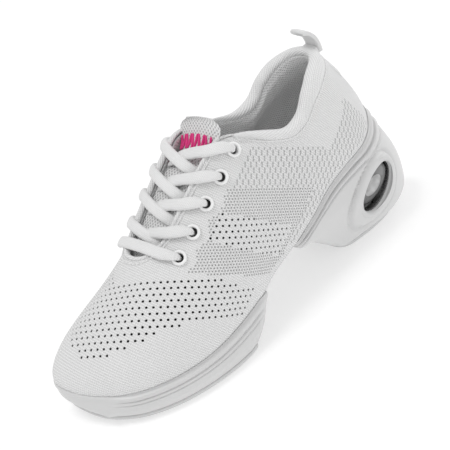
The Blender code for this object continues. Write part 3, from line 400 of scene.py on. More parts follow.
def sole_material(name, light, dark, rough, grain=2600.0, depth=0.00004):
    """Moulded foam or rubber with a fine grain and faint scuffs towards the ground."""
    n = Nodes(name)
    fine = n.noise(grain, 4.0, 0.65)
    cloud = n.noise(22.0, 4.0)
    coords = n.tree.nodes.new("ShaderNodeTexCoord")
    split = n.tree.nodes.new("ShaderNodeSeparateXYZ")
    n.tree.links.new(coords.outputs["Object"], split.inputs[0])
    low = n.ramp(split.outputs[2], 0.0, 0.012, 1.0, 0.0)
    scuff = n.calc("MULTIPLY", low, n.ramp(n.noise(420.0, 5.0, 0.7), 0.5, 0.75))
    tone = n.calc("ADD", n.ramp(cloud, 0.35, 0.75, 0.0, 0.45),
                  n.calc("MULTIPLY", scuff, 0.6), True)
    return n.finish(n.blend(tone, light, dark), n.ramp(fine, 0.3, 0.7, rough - 0.06, rough + 0.09),
                    fine, depth, 0.6)


def woven_material(name, light, dark, along, across, depth=0.00018, **constants):
    """Narrow woven goods: diagonal crossing threads over lengthwise ribs."""
    n = Nodes(name)
    x, y = n.uv()
    leg = n.tri(y, across)
    thread = n.wave(n.calc("MULTIPLY_ADD", leg, along * 0.9, x), along)
    rib = n.calc("SINE", n.calc("MULTIPLY", leg, math.pi))
    height = n.calc("MULTIPLY_ADD", thread, 0.6, n.calc("MULTIPLY_ADD", rib, 0.4,
                                                       n.calc("MULTIPLY", n.noise(6000.0), 0.2)))
    # Colour follows the bump height: painted shade in the grooves between threads; the noise adds
    # random tone.
    tone = n.ramp(n.calc("MULTIPLY_ADD", n.noise(45.0), 0.3, height), 0.15, 1.1)
    return n.finish(n.blend(tone, dark, light), n.ramp(height, 0, 1.1, 0.9, 0.72), height, depth,
                    0.9, Sheen_Weight=0.15, **constants)


def gloss_material(name, light, dark, rough, grain=900.0, **constants):
    """Smooth moulded or polished finish with slight mottling."""
    n = Nodes(name)
    fine = n.noise(grain, 3.0)
    return n.finish(n.blend(n.ramp(fine, 0.35, 0.7), light, dark),
                    n.ramp(fine, 0.3, 0.7, rough * 0.8, rough * 1.3), fine, 0.00002, 0.5,
                    **constants)


KNIT = knit_material("knit_white", grey(0.84), grey(0.64), 1.3, 1.3, 0.00036)
# Darker copies of the knit for the pit and dash hollows: painted shade.
KNIT_PIT_SHADE = knit_material("knit_pit_painted_shade", grey(0.60), grey(0.43), 1.2, 1.0)
KNIT_DASH_SHADE = knit_material("knit_dash_painted_shade", grey(0.64), grey(0.47), 1.2, 1.0)
COLLAR_KNIT = knit_material("collar_knit", grey(0.87), grey(0.66), 1.3, 1.3, 0.00034)
LINING = mesh_material("lining_grey", grey(0.90), grey(0.58), 2.4, 2.0, 0.0003)
# Outer face of the lining: painted shade seen through the knit's holes.
HOLE_SHADE_SHEET = mesh_material("painted_hole_shade", grey(0.20), grey(0.10), 2.4, 2.0, 0.0003)
TONGUE_MESH = mesh_material("tongue_mesh", grey(0.95), grey(0.54), 3.0, 2.6, 0.0006)
LACE = woven_material("lace_white", grey(0.88), grey(0.72), 1.1, 1.5, 0.00024)
WEB = woven_material("web_white", grey(0.82), grey(0.66), 1.3, 1.6)
PINK = woven_material("motif_pink", (0.86, 0.045, 0.27), (0.62, 0.02, 0.17), 0.5, 2.2, 0.00012)
SOLE = sole_material("sole_white", grey(0.66), grey(0.60), 0.36)
RUBBER = sole_material("rubber_white", grey(0.66), grey(0.56), 0.6, 1500.0, 0.00009)
EYELET = gloss_material("eyelet_white", grey(0.90), grey(0.86), 0.28)
STAY = woven_material("stay_white", grey(0.82), grey(0.66), 0.8, 0.8)
BOARD = gloss_material("board_pale", (0.72, 0.71, 0.69), (0.62, 0.61, 0.58), 0.8, 1400.0)
SOCK = knit_material("sock_grey", grey(0.80), grey(0.60), 1.4, 1.2, 0.0002)
AGLET = gloss_material("aglet_clear", grey(0.82), grey(0.72), 0.2)
DARK = gloss_material("cushion_dark", grey(0.22), grey(0.12), 0.12, 60.0, Coat_Weight=0.6)
BLOB = gloss_material("cushion_core", grey(0.55), grey(0.32), 0.18, 120.0, Coat_Weight=0.5)
SILVER = gloss_material("bezel_silver", grey(0.62), grey(0.48), 0.25, 700.0, Metallic=0.85)


# ---------------------------------------------------------------- mesh helpers

def linked(name, data):
    """New object in the scene."""
    obj = bpy.data.objects.new(name, data)
    bpy.context.scene.collection.objects.link(obj)
    return obj


def make(name, points, faces, materials, uvs=None, kinds=None, turn=True):
    """Object from design points; uvs holds one pair for each face corner."""
    mesh = bpy.data.meshes.new(name)
    mesh.from_pydata(place(points).tolist(), [], [tuple(int(i) for i in f) for f in faces])
    for mat in materials:
        mesh.materials.append(mat)
    if uvs is not None:
        layer = mesh.uv_layers.new(name="pattern")
        layer.data.foreach_set("uv", np.asarray(uvs, np.float32).ravel())
    if kinds is not None:
        mesh.polygons.foreach_set("material_index", np.asarray(kinds, np.int32))
    obj = linked(name, mesh)
    if turn:
        bm = bmesh.new()
        bm.from_mesh(mesh)
        bmesh.ops.recalc_face_normals(bm, faces=bm.faces)
        bm.to_mesh(mesh)
        bm.free()
    mesh.shade_smooth()
    return obj


def strips(n, m, closed_i, closed_j):
    """Quads of an n by m grid with their (i, j) corners."""
    faces, corners = [], []
    for i in range(n if closed_i else n - 1):
        for j in range(m if closed_j else m - 1):
            quad = ((i, j), (i + 1, j), (i + 1, j + 1), (i, j + 1))
            faces.append([(a % n) * m + b % m for a, b in quad])
            corners.append(quad)
    return faces, corners


def lengths(points, axis, closed):
    """Mean running length along one axis of a grid of points."""
    pts = np.concatenate([points, points.take([0], axis)], axis) if closed else points
    step = np.linalg.norm(np.diff(pts, axis=axis), axis=-1).mean(1 - axis)
    return np.concatenate([[0.0], np.cumsum(step)])


def tube(name, points, materials, kinds=None):
    """Closed-section sweep through an (n, m, 3) grid."""
    n, m = points.shape[:2]
    faces, corners = strips(n, m, False, True)
    xs, ys = lengths(points, 0, False), lengths(points, 1, True)
    uvs = [(xs[a], ys[b]) for quad in corners for a, b in quad]
    marks = kinds + kinds[:1] * 2 if kinds else None
    for row in (0, n - 1):
        faces.append([row * m + j for j in range(m)])
        uvs += [(xs[row], ys[j]) for j in range(m)]
    return make(name, points.reshape(-1, 3), faces, materials, uvs, marks)


def slab(name, outer, inner, materials, closed=False, kinds=(0, 0)):
    """Solid sheet between two equal (n, m, 3) grids; kinds are the materials of both faces."""
    n, m = outer.shape[:2]
    faces, corners = strips(n, m, closed, False)
    marks = [kinds[0]] * len(faces) + [kinds[1]] * len(faces)
    size = n * m
    under = [[i + size for i in reversed(f)] for f in faces]
    xs, ys = lengths(outer, 0, closed), lengths(outer, 1, False)
    uvs = [(xs[a], ys[b]) for quad in corners for a, b in quad]
    uvs += [(xs[a], ys[b]) for quad in corners for a, b in reversed(quad)]
    faces = faces + under
    edges = []
    for i in range(n if closed else n - 1):
        edges += [((i, 0), (i + 1, 0)), ((i, m - 1), (i + 1, m - 1))]
    if not closed:
        for j in range(m - 1):
            edges += [((0, j), (0, j + 1)), ((n - 1, j), (n - 1, j + 1))]
    for a, b in edges:
        ia, ib = ((p % n) * m + q for p, q in (a, b))
        faces.append([ia, ib, ib + size, ia + size])
        uvs += [(xs[a[0]], ys[a[1]]), (xs[b[0]], ys[b[1]])] * 2
        marks.append(kinds[1])
    return make(name, np.concatenate([outer.reshape(-1, 3), inner.reshape(-1, 3)]), faces,
                materials, uvs, marks)


def solid_of_rings(name, rings, materials):
    """Closed solid from rings of equal length, its ends closed rung by rung."""
    n, m = rings.shape[:2]
    faces, corners = strips(n, m, False, True)
    xs, ys = lengths(rings, 0, False), lengths(rings, 1, True)
    uvs = [(xs[a], ys[b]) for quad in corners for a, b in quad]
    for base, row in ((0, 0), ((n - 1) * m, n - 1)):
        for i in range(m // 2):
            face = tuple(dict.fromkeys((base + i, base + i + 1, base + (m - i - 1) % m,
                                        base + (m - i) % m)))
            faces.append(face)
            uvs += [(xs[row], ys[k - base]) for k in face]
    return make(name, rings.reshape(-1, 3), faces, materials, uvs)


def sections(path, axes, shape):
    """Grid of closed sections: shape (n, m, 2) in the frame of each path point and side axis."""
    t = unit(np.gradient(path, axis=0))
    s = unit(axes - t * (axes * t).sum(1, keepdims=True))
    up = np.cross(t, s)
    return path[:, None] + s[:, None] * shape[..., :1] + up[:, None] * shape[..., 1:]


def oval(widths, thicks, sides=24, power=0.8, ribs=0, rib=0.0):
    """Superellipse sections, optionally ribbed lengthwise."""
    a = turns(sides)
    c, s = np.cos(a), np.sin(a)
    x, y = np.sign(c) * np.abs(c) ** power, np.sign(s) * np.abs(s) ** power
    wobble = 1 + rib * np.cos(a * ribs) if ribs else np.ones(sides)
    w = np.asarray(widths, float)[:, None] / 2
    h = np.asarray(thicks, float)[:, None] / 2
    return np.stack([w * x * wobble, h * y * wobble], -1)


def fold(obj):
    """Bakes a soft piece that spans the arch into its mesh, on no body."""
    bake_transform(obj)


def settle(obj, slot, body, *nodes):
    """Hides a piece's CAD nodes and puts it on its body, or bakes it in place when the body is
    "fold"; the slot is not used.
    """
    if nodes:
        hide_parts(*nodes)
    if body == "fold":
        fold(obj)
    else:
        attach(obj, body)


# ---------------------------------------------------------------- knitted upper

KNIT_T = 0.9
CELL_X, CELL_Y = 1.88, 1.66
ROW_ANGLE = math.radians(25.0)
PLAIN, HOLE, PIT, DIMPLE = range(4)
EYE_CLEAR = 3.6                                   # radius cleared for an eyelet
EYE_PLAIN = 8.5                                   # plain knit round each eyelet
HOLE_SIDES = 8
HOLE_MOUTH, HOLE_WAIST, LIP_DEPTH = (0.84, 0.76), (0.74, 0.68), 0.28
PIT_SIZE, DIMPLE_SIZE = (0.5, 0.48, -0.5), (0.5, 0.8, -0.42)
PIT_SLANT = 0.22                                  # sideways stagger of pit rows, in cells


def flat_pattern():
    """Near-isometric flat pattern of the upper: design grid, flat grid and its (u, v) values."""
    nu, nv = 120, 24
    us, vs = np.meshgrid(np.linspace(0, N_COL, nu + 1), np.linspace(0, 1, nv + 1), indexing="ij")
    points = wall(us, vs)
    faces, _ = strips(nu + 1, nv + 1, False, False)
    mesh = bpy.data.meshes.new("pattern_helper")
    mesh.from_pydata(points.reshape(-1, 3).tolist(), [], faces)
    mesh.uv_layers.new(name="flat")
    helper = linked("pattern_helper", mesh)
    for other in bpy.context.selected_objects:
        other.select_set(False)
    bpy.context.view_layer.objects.active = helper
    helper.select_set(True)
    bpy.ops.object.mode_set(mode="EDIT")
    bpy.ops.mesh.select_all(action="SELECT")
    bpy.ops.uv.unwrap(method="ANGLE_BASED", margin=0.0)
    bpy.ops.object.mode_set(mode="OBJECT")
    uv = np.zeros(len(mesh.loops) * 2)
    mesh.uv_layers[0].data.foreach_get("uv", uv)
    index = np.zeros(len(mesh.loops), int)
    mesh.loops.foreach_get("vertex_index", index)
    flat = np.zeros((len(mesh.vertices), 2))
    flat[index] = uv.reshape(-1, 2)
    flat = flat.reshape(nu + 1, nv + 1, 2)
    bpy.data.objects.remove(helper, do_unlink=True)
    bpy.data.meshes.remove(mesh)
    flat *= (np.linalg.norm(np.diff(points, axis=0), axis=-1).sum()
             / np.linalg.norm(np.diff(flat, axis=0), axis=-1).sum())
    middle = nu // 2
    centre = flat[middle, -1] - flat[middle, 0]
    a = math.atan2(centre[0], centre[1])
    turn = np.array([[math.cos(a), -math.sin(a)], [math.sin(a), math.cos(a)]])
    flat = (flat - flat[middle, 0]) @ turn.T
    if flat[middle // 2, 0, 0] < 0:
        flat[..., 0] *= -1
    return flat, us, vs


def zone(x, y, v):
    """What the knit does at a place of the flat pattern."""
    x = abs(x)
    if v > 0.93 or v < 0.06:
        return PLAIN
    low = np.interp(x, (0, 18, 33, 49, 61, 78), (19, 27, 44, 58, 65, 74))
    high = np.interp(x, (0, 17, 35, 52, 73, 81), (62, 69, 77, 85, 89, 90))
    if x < 81 and low < y < high:
        return HOLE
    if 41 < x < 92 and np.interp(x, (41, 60, 92), (103, 106, 114)) < y < 121 + (x - 46) * 0.27:
        return HOLE
    if x > 37 and 84 + (x - 44) * 0.38 < y < 121 + (x - 44) * 0.3 and x < 96:
        return PIT
    if 40 < x < 96 and y < 134 + (x - 38) * 0.45:
        return PIT if y > 118 else PLAIN
    if x > 42 and y < 161 + (x - 42) * 0.44 and y > 118:
        return DIMPLE
    if x > 96 and 150 < y < 218:
        return DIMPLE
    return PLAIN


def pattern_lookup(flat, us, vs):
    """Function from flat points to (u, v) and an inside flag."""
    n, m = flat.shape[:2]
    spots = flat.reshape(-1, 2)
    quads, _ = strips(n, m, False, False)
    tris = [t for a, b, c, d in quads for t in ((a, b, c), (a, c, d))]
    tree = BVHTree.FromPolygons([Vector((x, y, 0.0)) for x, y in spots], tris)
    uv_flat = np.stack([us, vs], -1).reshape(-1, 2)

    def to_wall(points):
        """(u, v, inside) of flat points."""
        out = np.zeros((len(points), 3))
        for k, (x, y) in enumerate(points):
            hit, _, face, gap = tree.find_nearest((x, y, 0.0))
            ids = tris[face]
            a, b, c = (spots[i] for i in ids)
            area = np.cross(b - a, c - a)
            p = np.array(hit[:2])
            w0 = np.cross(b - p, c - p) / area
            w1 = np.cross(c - p, a - p) / area
            uv = uv_flat[ids[0]] * w0 + uv_flat[ids[1]] * w1 + uv_flat[ids[2]] * (1 - w0 - w1)
            out[k] = (uv[0], min(max(uv[1], 0.0), 1.0), gap < 1e-4)
        return out
    return to_wall


def clear_eyelets(points, u, v):
    """Pushes knit points out of the eyelet holes and tells which ones lay in them."""
    on_skin = wall(u, v)
    gone = np.zeros(len(points), bool)
    for spot in EYE_SPOTS:
        d = on_skin - wall(*spot)
        axis = normal_of(wall, *spot)
        along = d @ axis
        flat_d = d - along[:, None] * axis
        r = np.linalg.norm(flat_d, axis=1)
        near = (r < EYE_CLEAR) & (np.abs(along) < 6.0)
        points[near] += flat_d[near] * (EYE_CLEAR / np.maximum(r[near], 0.05) - 1)[:, None]
        gone |= near
    return gone


def knit_upper():
    """One knitted upper with real ventilation holes, laid out on the flat pattern."""
    flat, us, vs = flat_pattern()
    to_wall = pattern_lookup(flat, us, vs)
    ex = np.array((math.cos(ROW_ANGLE), math.sin(ROW_ANGLE)))
    ey = np.array((-math.sin(ROW_ANGLE), math.cos(ROW_ANGLE)))
    cells = flat.reshape(-1, 2) @ np.stack([ex, ey], 1)
    i0, j0 = np.floor(cells.min(0) / (CELL_X, CELL_Y)).astype(int) - 1
    i1, j1 = np.ceil(cells.max(0) / (CELL_X, CELL_Y)).astype(int) + 1
    ii, jj = np.meshgrid(np.arange(i0, i1 + 1), np.arange(j0, j1 + 1), indexing="ij")
    grid = ii[..., None] * CELL_X * ex + jj[..., None] * CELL_Y * ey
    mapped = to_wall(grid.reshape(-1, 2)).reshape(ii.shape + (3,))
    centres = np.array([wall(*spot) for spot in EYE_SPOTS])
    inside = mapped[..., 2] > 0.5

    lattice, heights, faces, marks, inner_of = [], [], [], [], {}
    ids = -np.ones(ii.shape, int)

    def add(x, y, height):
        """One lattice vertex at a height above the skin."""
        lattice.append((x, y))
        heights.append(height)
        return len(lattice) - 1

    def corner(a, b):
        """Shared corner vertex."""
        if ids[a, b] < 0:
            ids[a, b] = add(ii[a, b] * CELL_X, jj[a, b] * CELL_Y, 0.0)
            inner_of[int(ids[a, b])] = add(ii[a, b] * CELL_X, jj[a, b] * CELL_Y, -KNIT_T)
        return int(ids[a, b])

    def open_ring(cx, cy, radii, height):
        """Ring of vertices round a hole, first at +x."""
        return [add(cx + radii[0] * math.cos(a), cy + radii[1] * math.sin(a), height)
                for a in turns(HOLE_SIDES)]

    def square(cx, cy, rx, ry, height):
        """Four vertices of a recess."""
        return [add(cx + sx * rx, cy + sy * ry, height)
                for sx, sy in ((-1, -1), (1, -1), (1, 1), (-1, 1))]

    def cell_kind(a, b, x, y):
        """What one cell of the lattice holds; (x, y) is its middle on the pattern."""
        if not inside[a:a + 2, b:b + 2].all():
            return PLAIN
        kind = zone(x, y, mapped[a:a + 2, b:b + 2, 1].mean())
        if kind == PLAIN:
            return PLAIN
        spot = wall(mapped[a, b, 0], mapped[a, b, 1])
        if np.linalg.norm(centres - spot, axis=1).min() < EYE_PLAIN:
            return PLAIN
        odd = (ii[a, b] + jj[a, b] // 2) % 2
        if kind == HOLE and (jj[a, b] % 2 or odd) or kind == DIMPLE and odd:
            return PLAIN
        return kind

    for a in range(ii.shape[0] - 1):
        for b in range(ii.shape[1] - 1):
            if not inside[a:a + 2, b:b + 2].any():
                continue
            four = [corner(a, b), corner(a + 1, b), corner(a + 1, b + 1), corner(a, b + 1)]
            under = [inner_of[c] for c in four]
            cx, cy = (ii[a, b] + 0.5) * CELL_X, (jj[a, b] + 0.5) * CELL_Y
            kind = cell_kind(a, b, *(cx * ex + cy * ey))
            if kind == PLAIN:
                faces += [four, under[::-1]]
                marks += [0, 0]
            elif kind == HOLE:
                rim = open_ring(cx, cy, HOLE_MOUTH, 0.0)
                lip = open_ring(cx, cy, HOLE_WAIST, -LIP_DEPTH)
                back = open_ring(cx, cy, HOLE_WAIST, -KNIT_T)
                for loop, base, flip in ((rim, four, False), (back, under, True)):
                    for q in range(4):
                        start = (5 + 2 * q) % HOLE_SIDES   # ring vertex towards corner q
                        c0, c1 = base[q], base[(q + 1) % 4]
                        before, at = loop[start - 1], loop[start]
                        after = loop[(start + 1) % HOLE_SIDES]
                        for f in ((c0, at, before), (c0, after, at), (c0, c1, after)):
                            faces.append(f[::-1] if flip else f)
                            marks.append(0)
                for top, low in ((rim, lip), (lip, back)):
                    for k in range(HOLE_SIDES):
                        faces.append((top[k - 1], top[k], low[k], low[k - 1]))
                        marks.append(0)
            else:
                rx, ry, deep = PIT_SIZE if kind == PIT else DIMPLE_SIZE
                cx += CELL_X * (PIT_SLANT if jj[a, b] % 2 else -PIT_SLANT) * (kind == PIT)
                # Pit and dash hollows take a darker knit: painted shade.
                shade = 1 if kind == PIT else 2
                rim = square(cx, cy, rx, ry, 0.0)
                pit = square(cx, cy, rx * 0.55, ry * 0.6, deep)
                for outer, inner in ((four, rim), (rim, pit)):
                    for k in range(4):
                        faces.append((outer[k], outer[(k + 1) % 4], inner[(k + 1) % 4], inner[k]))
                        marks.append(shade if inner is pit else 0)
                faces += [pit, under[::-1]]
                marks += [shade, 0]

    lattice = np.array(lattice)
    uv = to_wall(lattice[:, :1] * ex + lattice[:, 1:] * ey)
    u, v = uv[:, 0], uv[:, 1]
    dip = -0.35 * smooth_step(0.982, 1.0, v)
    puff = 0.8 * np.clip((6.5 - round_heel(u)) / 2.0, 0, 1) * bump_at(v, 0.84, 0.1)
    points = skin(u, v, np.array(heights) + puff + dip)
    gone = clear_eyelets(points, u, v)
    keep, kept_marks = [], []
    for f, mark in zip(faces, marks):
        if not all(gone[i] for i in f):
            keep.append(list(f))
            kept_marks.append(mark)
    edges = dict.fromkeys(edge for f in keep for edge in zip(f, f[1:] + f[:1]))
    for a, b in edges:
        if (b, a) not in edges and a in inner_of and b in inner_of:
            keep.append([b, a, inner_of[a], inner_of[b]])
            kept_marks.append(0)
    uvs = [tuple(lattice[i]) for f in keep for i in f]
    obj = make("knit_upper", points, keep, [KNIT, KNIT_PIT_SHADE, KNIT_DASH_SHADE], uvs, kept_marks,
               turn=False)
    bm = bmesh.new()
    bm.from_mesh(obj.data)
    bmesh.ops.remove_doubles(bm, verts=bm.verts, dist=0.00002)
    bmesh.ops.dissolve_degenerate(bm, edges=bm.edges, dist=0.00001)
    bmesh.ops.recalc_face_normals(bm, faces=bm.faces)
    bm.to_mesh(obj.data)
    bm.free()
    obj.data.shade_smooth()
    settle(obj, "knit_white", "fold", "knit_vamp", "knit_quarter")


knit_upper()


# ---------------------------------------------------------------- lining and collar

def lining():
    """Mesh lining; its outer face is painted near black as the shade seen through the knit's
    holes.
    """
    us = np.arange(0, N_COL, 0.15)
    vs = np.linspace(0, 1, 33)
    u, v = np.meshgrid(us, vs, indexing="ij")
    n = normal_of(inner_wall, u, v)
    pad = pad_depth(u, v)[..., None]
    base = inner_wall(u, v)
    crease = (0.9 * bump_at(u, 0.9, 0.22) * smooth_step(0.1, 0.3, v))[..., None]
    outer = base - n * (LINING_OUT + pad)
    inner = base - n * (LINING_IN + pad + crease)
    obj = slab("mesh_lining", outer, inner, [HOLE_SHADE_SHEET, LINING], True, (0, 1))
    settle(obj, "lining_grey", "fold", "lining_vamp", "lining_quarter")


def collar():
    """Crowned foam roll of the ankle collar."""
    us = np.linspace(-7.35, 7.35, 181)
    inner = ((0.38, 3.5), (0.72, 3.2), (0.97, 1.8), (1.05, -0.6), (1.02, -3.5), (0.94, -7.0),
             (0.6, -9.5))
    rings = []
    for u in us:
        d = float(pad_depth(u, 0.97)) + LINING_OUT - 0.2
        taper = 0.5 + 0.5 * float(smooth_step(7.35, 5.9, abs(u)))
        edge, out = wall(u, 1.0), normal_of(wall, u, 1.0)
        t = unit(edge - wall(u, 0.96))
        seam = 3.2 + 3.3 * float(smooth_step(4.6, 2.0, abs(u)))
        section = ((-1.2, -seam - 4.0), (-1.0, -seam - 1.0), (0.35, -seam), (1.15, -0.72 * seam),
                   (1.35, -0.3 * seam), (1.0, 1.0), (-0.2, 2.6))
        pts = [(a, b * taper) for a, b in section] + [(-a * d - 0.2, b * taper) for a, b in inner]
        loop = ring_at(np.array(pts), np.arange(0, len(pts), 0.4))
        rings.append(edge + out * (loop[:, :1] - 1.2 * (1 - taper)) + t * loop[:, 1:])
    obj = tube("collar_roll", np.array(rings), [COLLAR_KNIT])
    settle(obj, "foam_white", "fold", "collar_foam")


def edge_cords():
    """Rounded binding of the throat and the piping beside it."""
    def cord(name, us, toward, height, width, thick, mat, sides=14):
        edge = wall(us, np.ones_like(us))
        out = normal_of(wall, us, np.ones_like(us))
        t = unit(edge - wall(us, 0.96 + 0 * us))
        path = edge + t * np.asarray(toward, float).reshape(-1, 1) + out * height
        grow = np.sin(np.clip(np.linspace(0, 1, len(us)) * 12, 0, math.pi / 2)) \
            * np.sin(np.clip(np.linspace(1, 0, len(us)) * 12, 0, math.pi / 2))
        grow = 0.3 + 0.7 * grow
        grid = sections(path, out, oval(width * grow, thick * grow, sides))
        return tube(name, grid, [mat])
    us = np.linspace(7.0, 23.05, 260)
    obj = cord("throat_binding_roll", us, 1.0, -1.1, 3.5, 2.6, COLLAR_KNIT, 18)
    settle(obj, "web_white", "forefoot", "throat_binding")
    us = np.linspace(-7.2, 7.2, 200)
    obj = cord("collar_piping", us, -3.6 - 3.3 * smooth_step(4.6, 2.0, np.abs(us)), 0.35, 1.5, 1.2,
               COLLAR_KNIT, 10)
    settle(obj, "web_white", "fold")
    us = np.linspace(7.6, 22.4, 240)
    obj = cord("throat_piping", us, -2.4, 0.1, 1.3, 1.1, COLLAR_KNIT, 10)
    settle(obj, "web_white", "forefoot")


lining()
collar()
edge_cords()


# ---------------------------------------------------------------- eyelets and lace

def eye_frame(side, k):
    """Centre, outward axis, row direction and direction to the throat edge of an eyelet."""
    u, v = EYES[side][k]
    at, out = wall(u, v), normal_of(wall, u, v)
    row = wall(u + 0.3, v) - wall(u - 0.3, v)
    row = unit(row - out * (row @ out))
    if row[1] > 0:
        row = -row
    up = wall(u, min(v + 0.03, 1.0)) - at
    up -= row * (up @ row)
    up -= out * (up @ out)
    return at, out, row, unit(up)


def eyelets():
    """Ten smooth moulded eyelets."""
    profile = np.array(((2.6, -4.3), (2.6, -1.0), (2.65, 0.9), (2.95, 1.55), (3.5, 1.8),
                        (4.05, 1.6), (4.4, 1.1), (4.35, 0.6), (3.6, 0.1), (3.1, -1.0),
                        (3.1, -4.3)))
    a = turns(40)
    for side, word in enumerate(("lateral", "medial")):
        for k in range(5):
            at, out, row, up = eye_frame(side, k)
            d = np.cos(a)[:, None] * up + np.sin(a)[:, None] * row
            grid = at + d[:, None] * profile[None, :, :1] + out * profile[None, :, 1:]
            faces, _ = strips(len(a), len(profile), True, True)
            name = "eyelet_ring_%s_%d" % (word, k + 1)
            obj = make(name, grid.reshape(-1, 3), faces, [EYELET])
            settle(obj, "eyelet_white", "forefoot", "eyelet_%s_%d" % (word, k + 1))


LACE_W, LACE_T = 6.7, 3.9
# Levels along the throat where the strand of each eyelet row crosses its own edge, and where it
# dives under the other one.
CROSS = (1.0, 2.0, 3.0, 4.35, 5.6)
DIVE = ((1.5, 2.5, 3.5, 4.9), (1.8, 2.8, 3.8, 4.95))


def throat_u(side, level):
    """Column of a level on one throat edge; level k is eyelet row k."""
    eyes = EYES[side]
    k = min(int(level), 3)
    return eyes[k][0] + (eyes[k + 1][0] - eyes[k][0]) * (level - k)


def through(side, k, tuck):
    """Lace knots of one eyelet: from under the throat edge at level tuck to over it."""
    u, v = EYES[side][k]
    at, out, _, _ = eye_frame(side, k)
    edge, under = throat_u(side, CROSS[k]), throat_u(side, tuck)
    rest = 1.0 - v
    away = skin(edge, 1.0, 0.0) - at
    away = unit(away - out * (away @ out))
    plan = ((under, 1.0, -5.4, 5.6, 2.0),
            (0.55 * under + 0.45 * u, v + 0.6 * rest, -6.2, 5.6, 2.0),
            (0.2 * under + 0.8 * u, v + 0.22 * rest, -6.7, 4.4, 2.2),
            (u, v + 0.03 * rest, -5.9, 3.4, 3.1), (u, v, -2.4, 3.1, 3.1), (u, v, 0.6, 3.3, 3.1))
    rise = ((0.07, 2.3, 4.0, 3.2), (0.26, 3.1, 5.6, 3.7), (0.55, 3.2, LACE_W, LACE_T),
            (1.0, 2.9, LACE_W, LACE_T))
    knots = [(skin(a, b, h) + (away * 0.8 if h > -6.1 and a == u else 0),
              out if h < -5 else -away, w, t) for a, b, h, w, t in plan]
    return knots + [(skin(u + (edge - u) * f, v + f * rest, h), out, w, t) for f, h, w, t in rise]


def knot(across, level, height, width, thick):
    """Lace knot over the throat, across 0 at the lateral edge and 1 at the medial edge."""
    ends = [throat_u(side, level) for side in (0, 1)]
    a, b = (skin(e, 1.0, 0.0) for e in ends)
    up = unit(normal_of(wall, ends[0], 1.0) * (1 - across)
              + normal_of(wall, ends[1], 1.0) * across)
    return a + (b - a) * across + up * height, up, width, thick


def strand(side, k):
    """From over the edge at eyelet k of one side to the other edge."""
    if side == 0:
        plan = ((0.16, 0.1, 2.1, LACE_T), (0.4, 0.38, 1.0, LACE_T), (0.63, 0.66, -0.2, 3.6),
                (0.85, 0.92, -3.8, 2.4))
    else:
        plan = ((0.14, 0.14, 3.6, LACE_T), (0.35, 0.4, 3.9, LACE_T), (0.56, 0.66, 2.6, LACE_T),
                (0.76, 0.88, -0.8, 3.6), (0.9, 0.98, -4.2, 2.4))
    low, high = CROSS[k], DIVE[side][k]
    return [knot(t if side == 0 else 1 - t, low + (high - low) * f, h, LACE_W, thick)
            for t, f, h, thick in plan]


def lace_tail(side):
    """Lace end tucked inside the shoe."""
    u, v = EYES[side][0]
    out = eye_frame(side, 0)[1]
    plan = ((0.0, -6.4, 3.4, 2.6), (-0.06, -8.0, 4.4, 2.2), (-0.13, -9.2, 4.8, 2.2),
            (-0.2, -10.2, 4.8, 2.2))
    return [(skin(u + 0.1 * k, v + dv, h), out, w, t) for k, (dv, h, w, t) in enumerate(plan)]


def hermite(knots, spacing):
    """Even stations on a smooth curve through (point, axis, width, thick) knots."""
    path = np.array([k[0] for k in knots])
    ups = np.array([k[1] for k in knots])
    axes = unit(np.cross(np.gradient(path, axis=0), ups))
    for i in range(1, len(axes)):
        if axes[i] @ axes[i - 1] < 0:
            axes[i] *= -1
    rows = np.array([np.concatenate([p, a, (k[2], k[3])]) for p, a, k in zip(path, axes, knots)])
    reach = np.linalg.norm(np.diff(rows[:, :3], axis=0), axis=1)
    step = np.diff(rows, axis=0) / reach[:, None]
    slope = np.concatenate([step[:1], (step[:-1] * reach[1:, None] + step[1:] * reach[:-1, None])
                            / (reach[:-1] + reach[1:])[:, None], step[-1:]])
    out = []
    for i, h in enumerate(reach):
        count = max(1, int(round(h / spacing)))
        t = (np.arange(count) / count)[:, None]
        out.append(span(rows[i], rows[i + 1], slope[i], slope[i + 1], h, t))
    out.append(rows[-1:])
    return np.concatenate(out)


def lace():
    """Plump woven lace: bar over the bottom pair, criss-cross above, ends tucked in."""
    knots = lace_tail(0)[::-1] + through(0, 0, 0.0)[4:]
    for k in range(4):
        side = k % 2
        knots += strand(side, k)
        knots += through(1 - side, k + 1, DIVE[side][k])
    knots += [knot(t, CROSS[4], h, LACE_W, LACE_T)
              for t, h in ((0.25, 3.6), (0.5, 3.8), (0.75, 3.6))]
    knots += through(1, 4, DIVE[0][3])[::-1]
    for k in (3, 2, 1, 0):
        side = (k + 1) % 2
        knots += strand(side, k)[::-1]
        turn = through(side, k, DIVE[1 - side][k - 1] if k else 0.0)
        knots += (turn if k else turn[4:])[::-1]
    knots += lace_tail(1)
    rows = hermite(knots, 0.9)
    free = np.clip((rows[1:-1, 6:7] - 5.0) / 1.4, 0.0, 1.0)
    for _ in range(36):
        rows[1:-1, :3] += 0.5 * free * ((rows[:-2, :3] + rows[2:, :3]) / 2 - rows[1:-1, :3])
    grid = sections(rows[:, :3], rows[:, 3:6], oval(rows[:, 6], rows[:, 7], 30, 0.8, 10, 0.022))
    obj = tube("woven_lace", grid, [LACE])
    settle(obj, "lace_white", "forefoot", "shoelace")


eyelets()
lace()


# ---------------------------------------------------------------- tongue and motif

def tongue_top(x, y):
    """Height of the tongue's upper face."""
    twist = 0.17 * smooth_step(5.0, 15.0, y)          # the end leans towards the medial side
    return (table_at(TONGUE_CREST, y) - table_at(TONGUE_SAG, y) * ((x - 1.0) / 19.0) ** 2
            + twist * (x - 1.0))


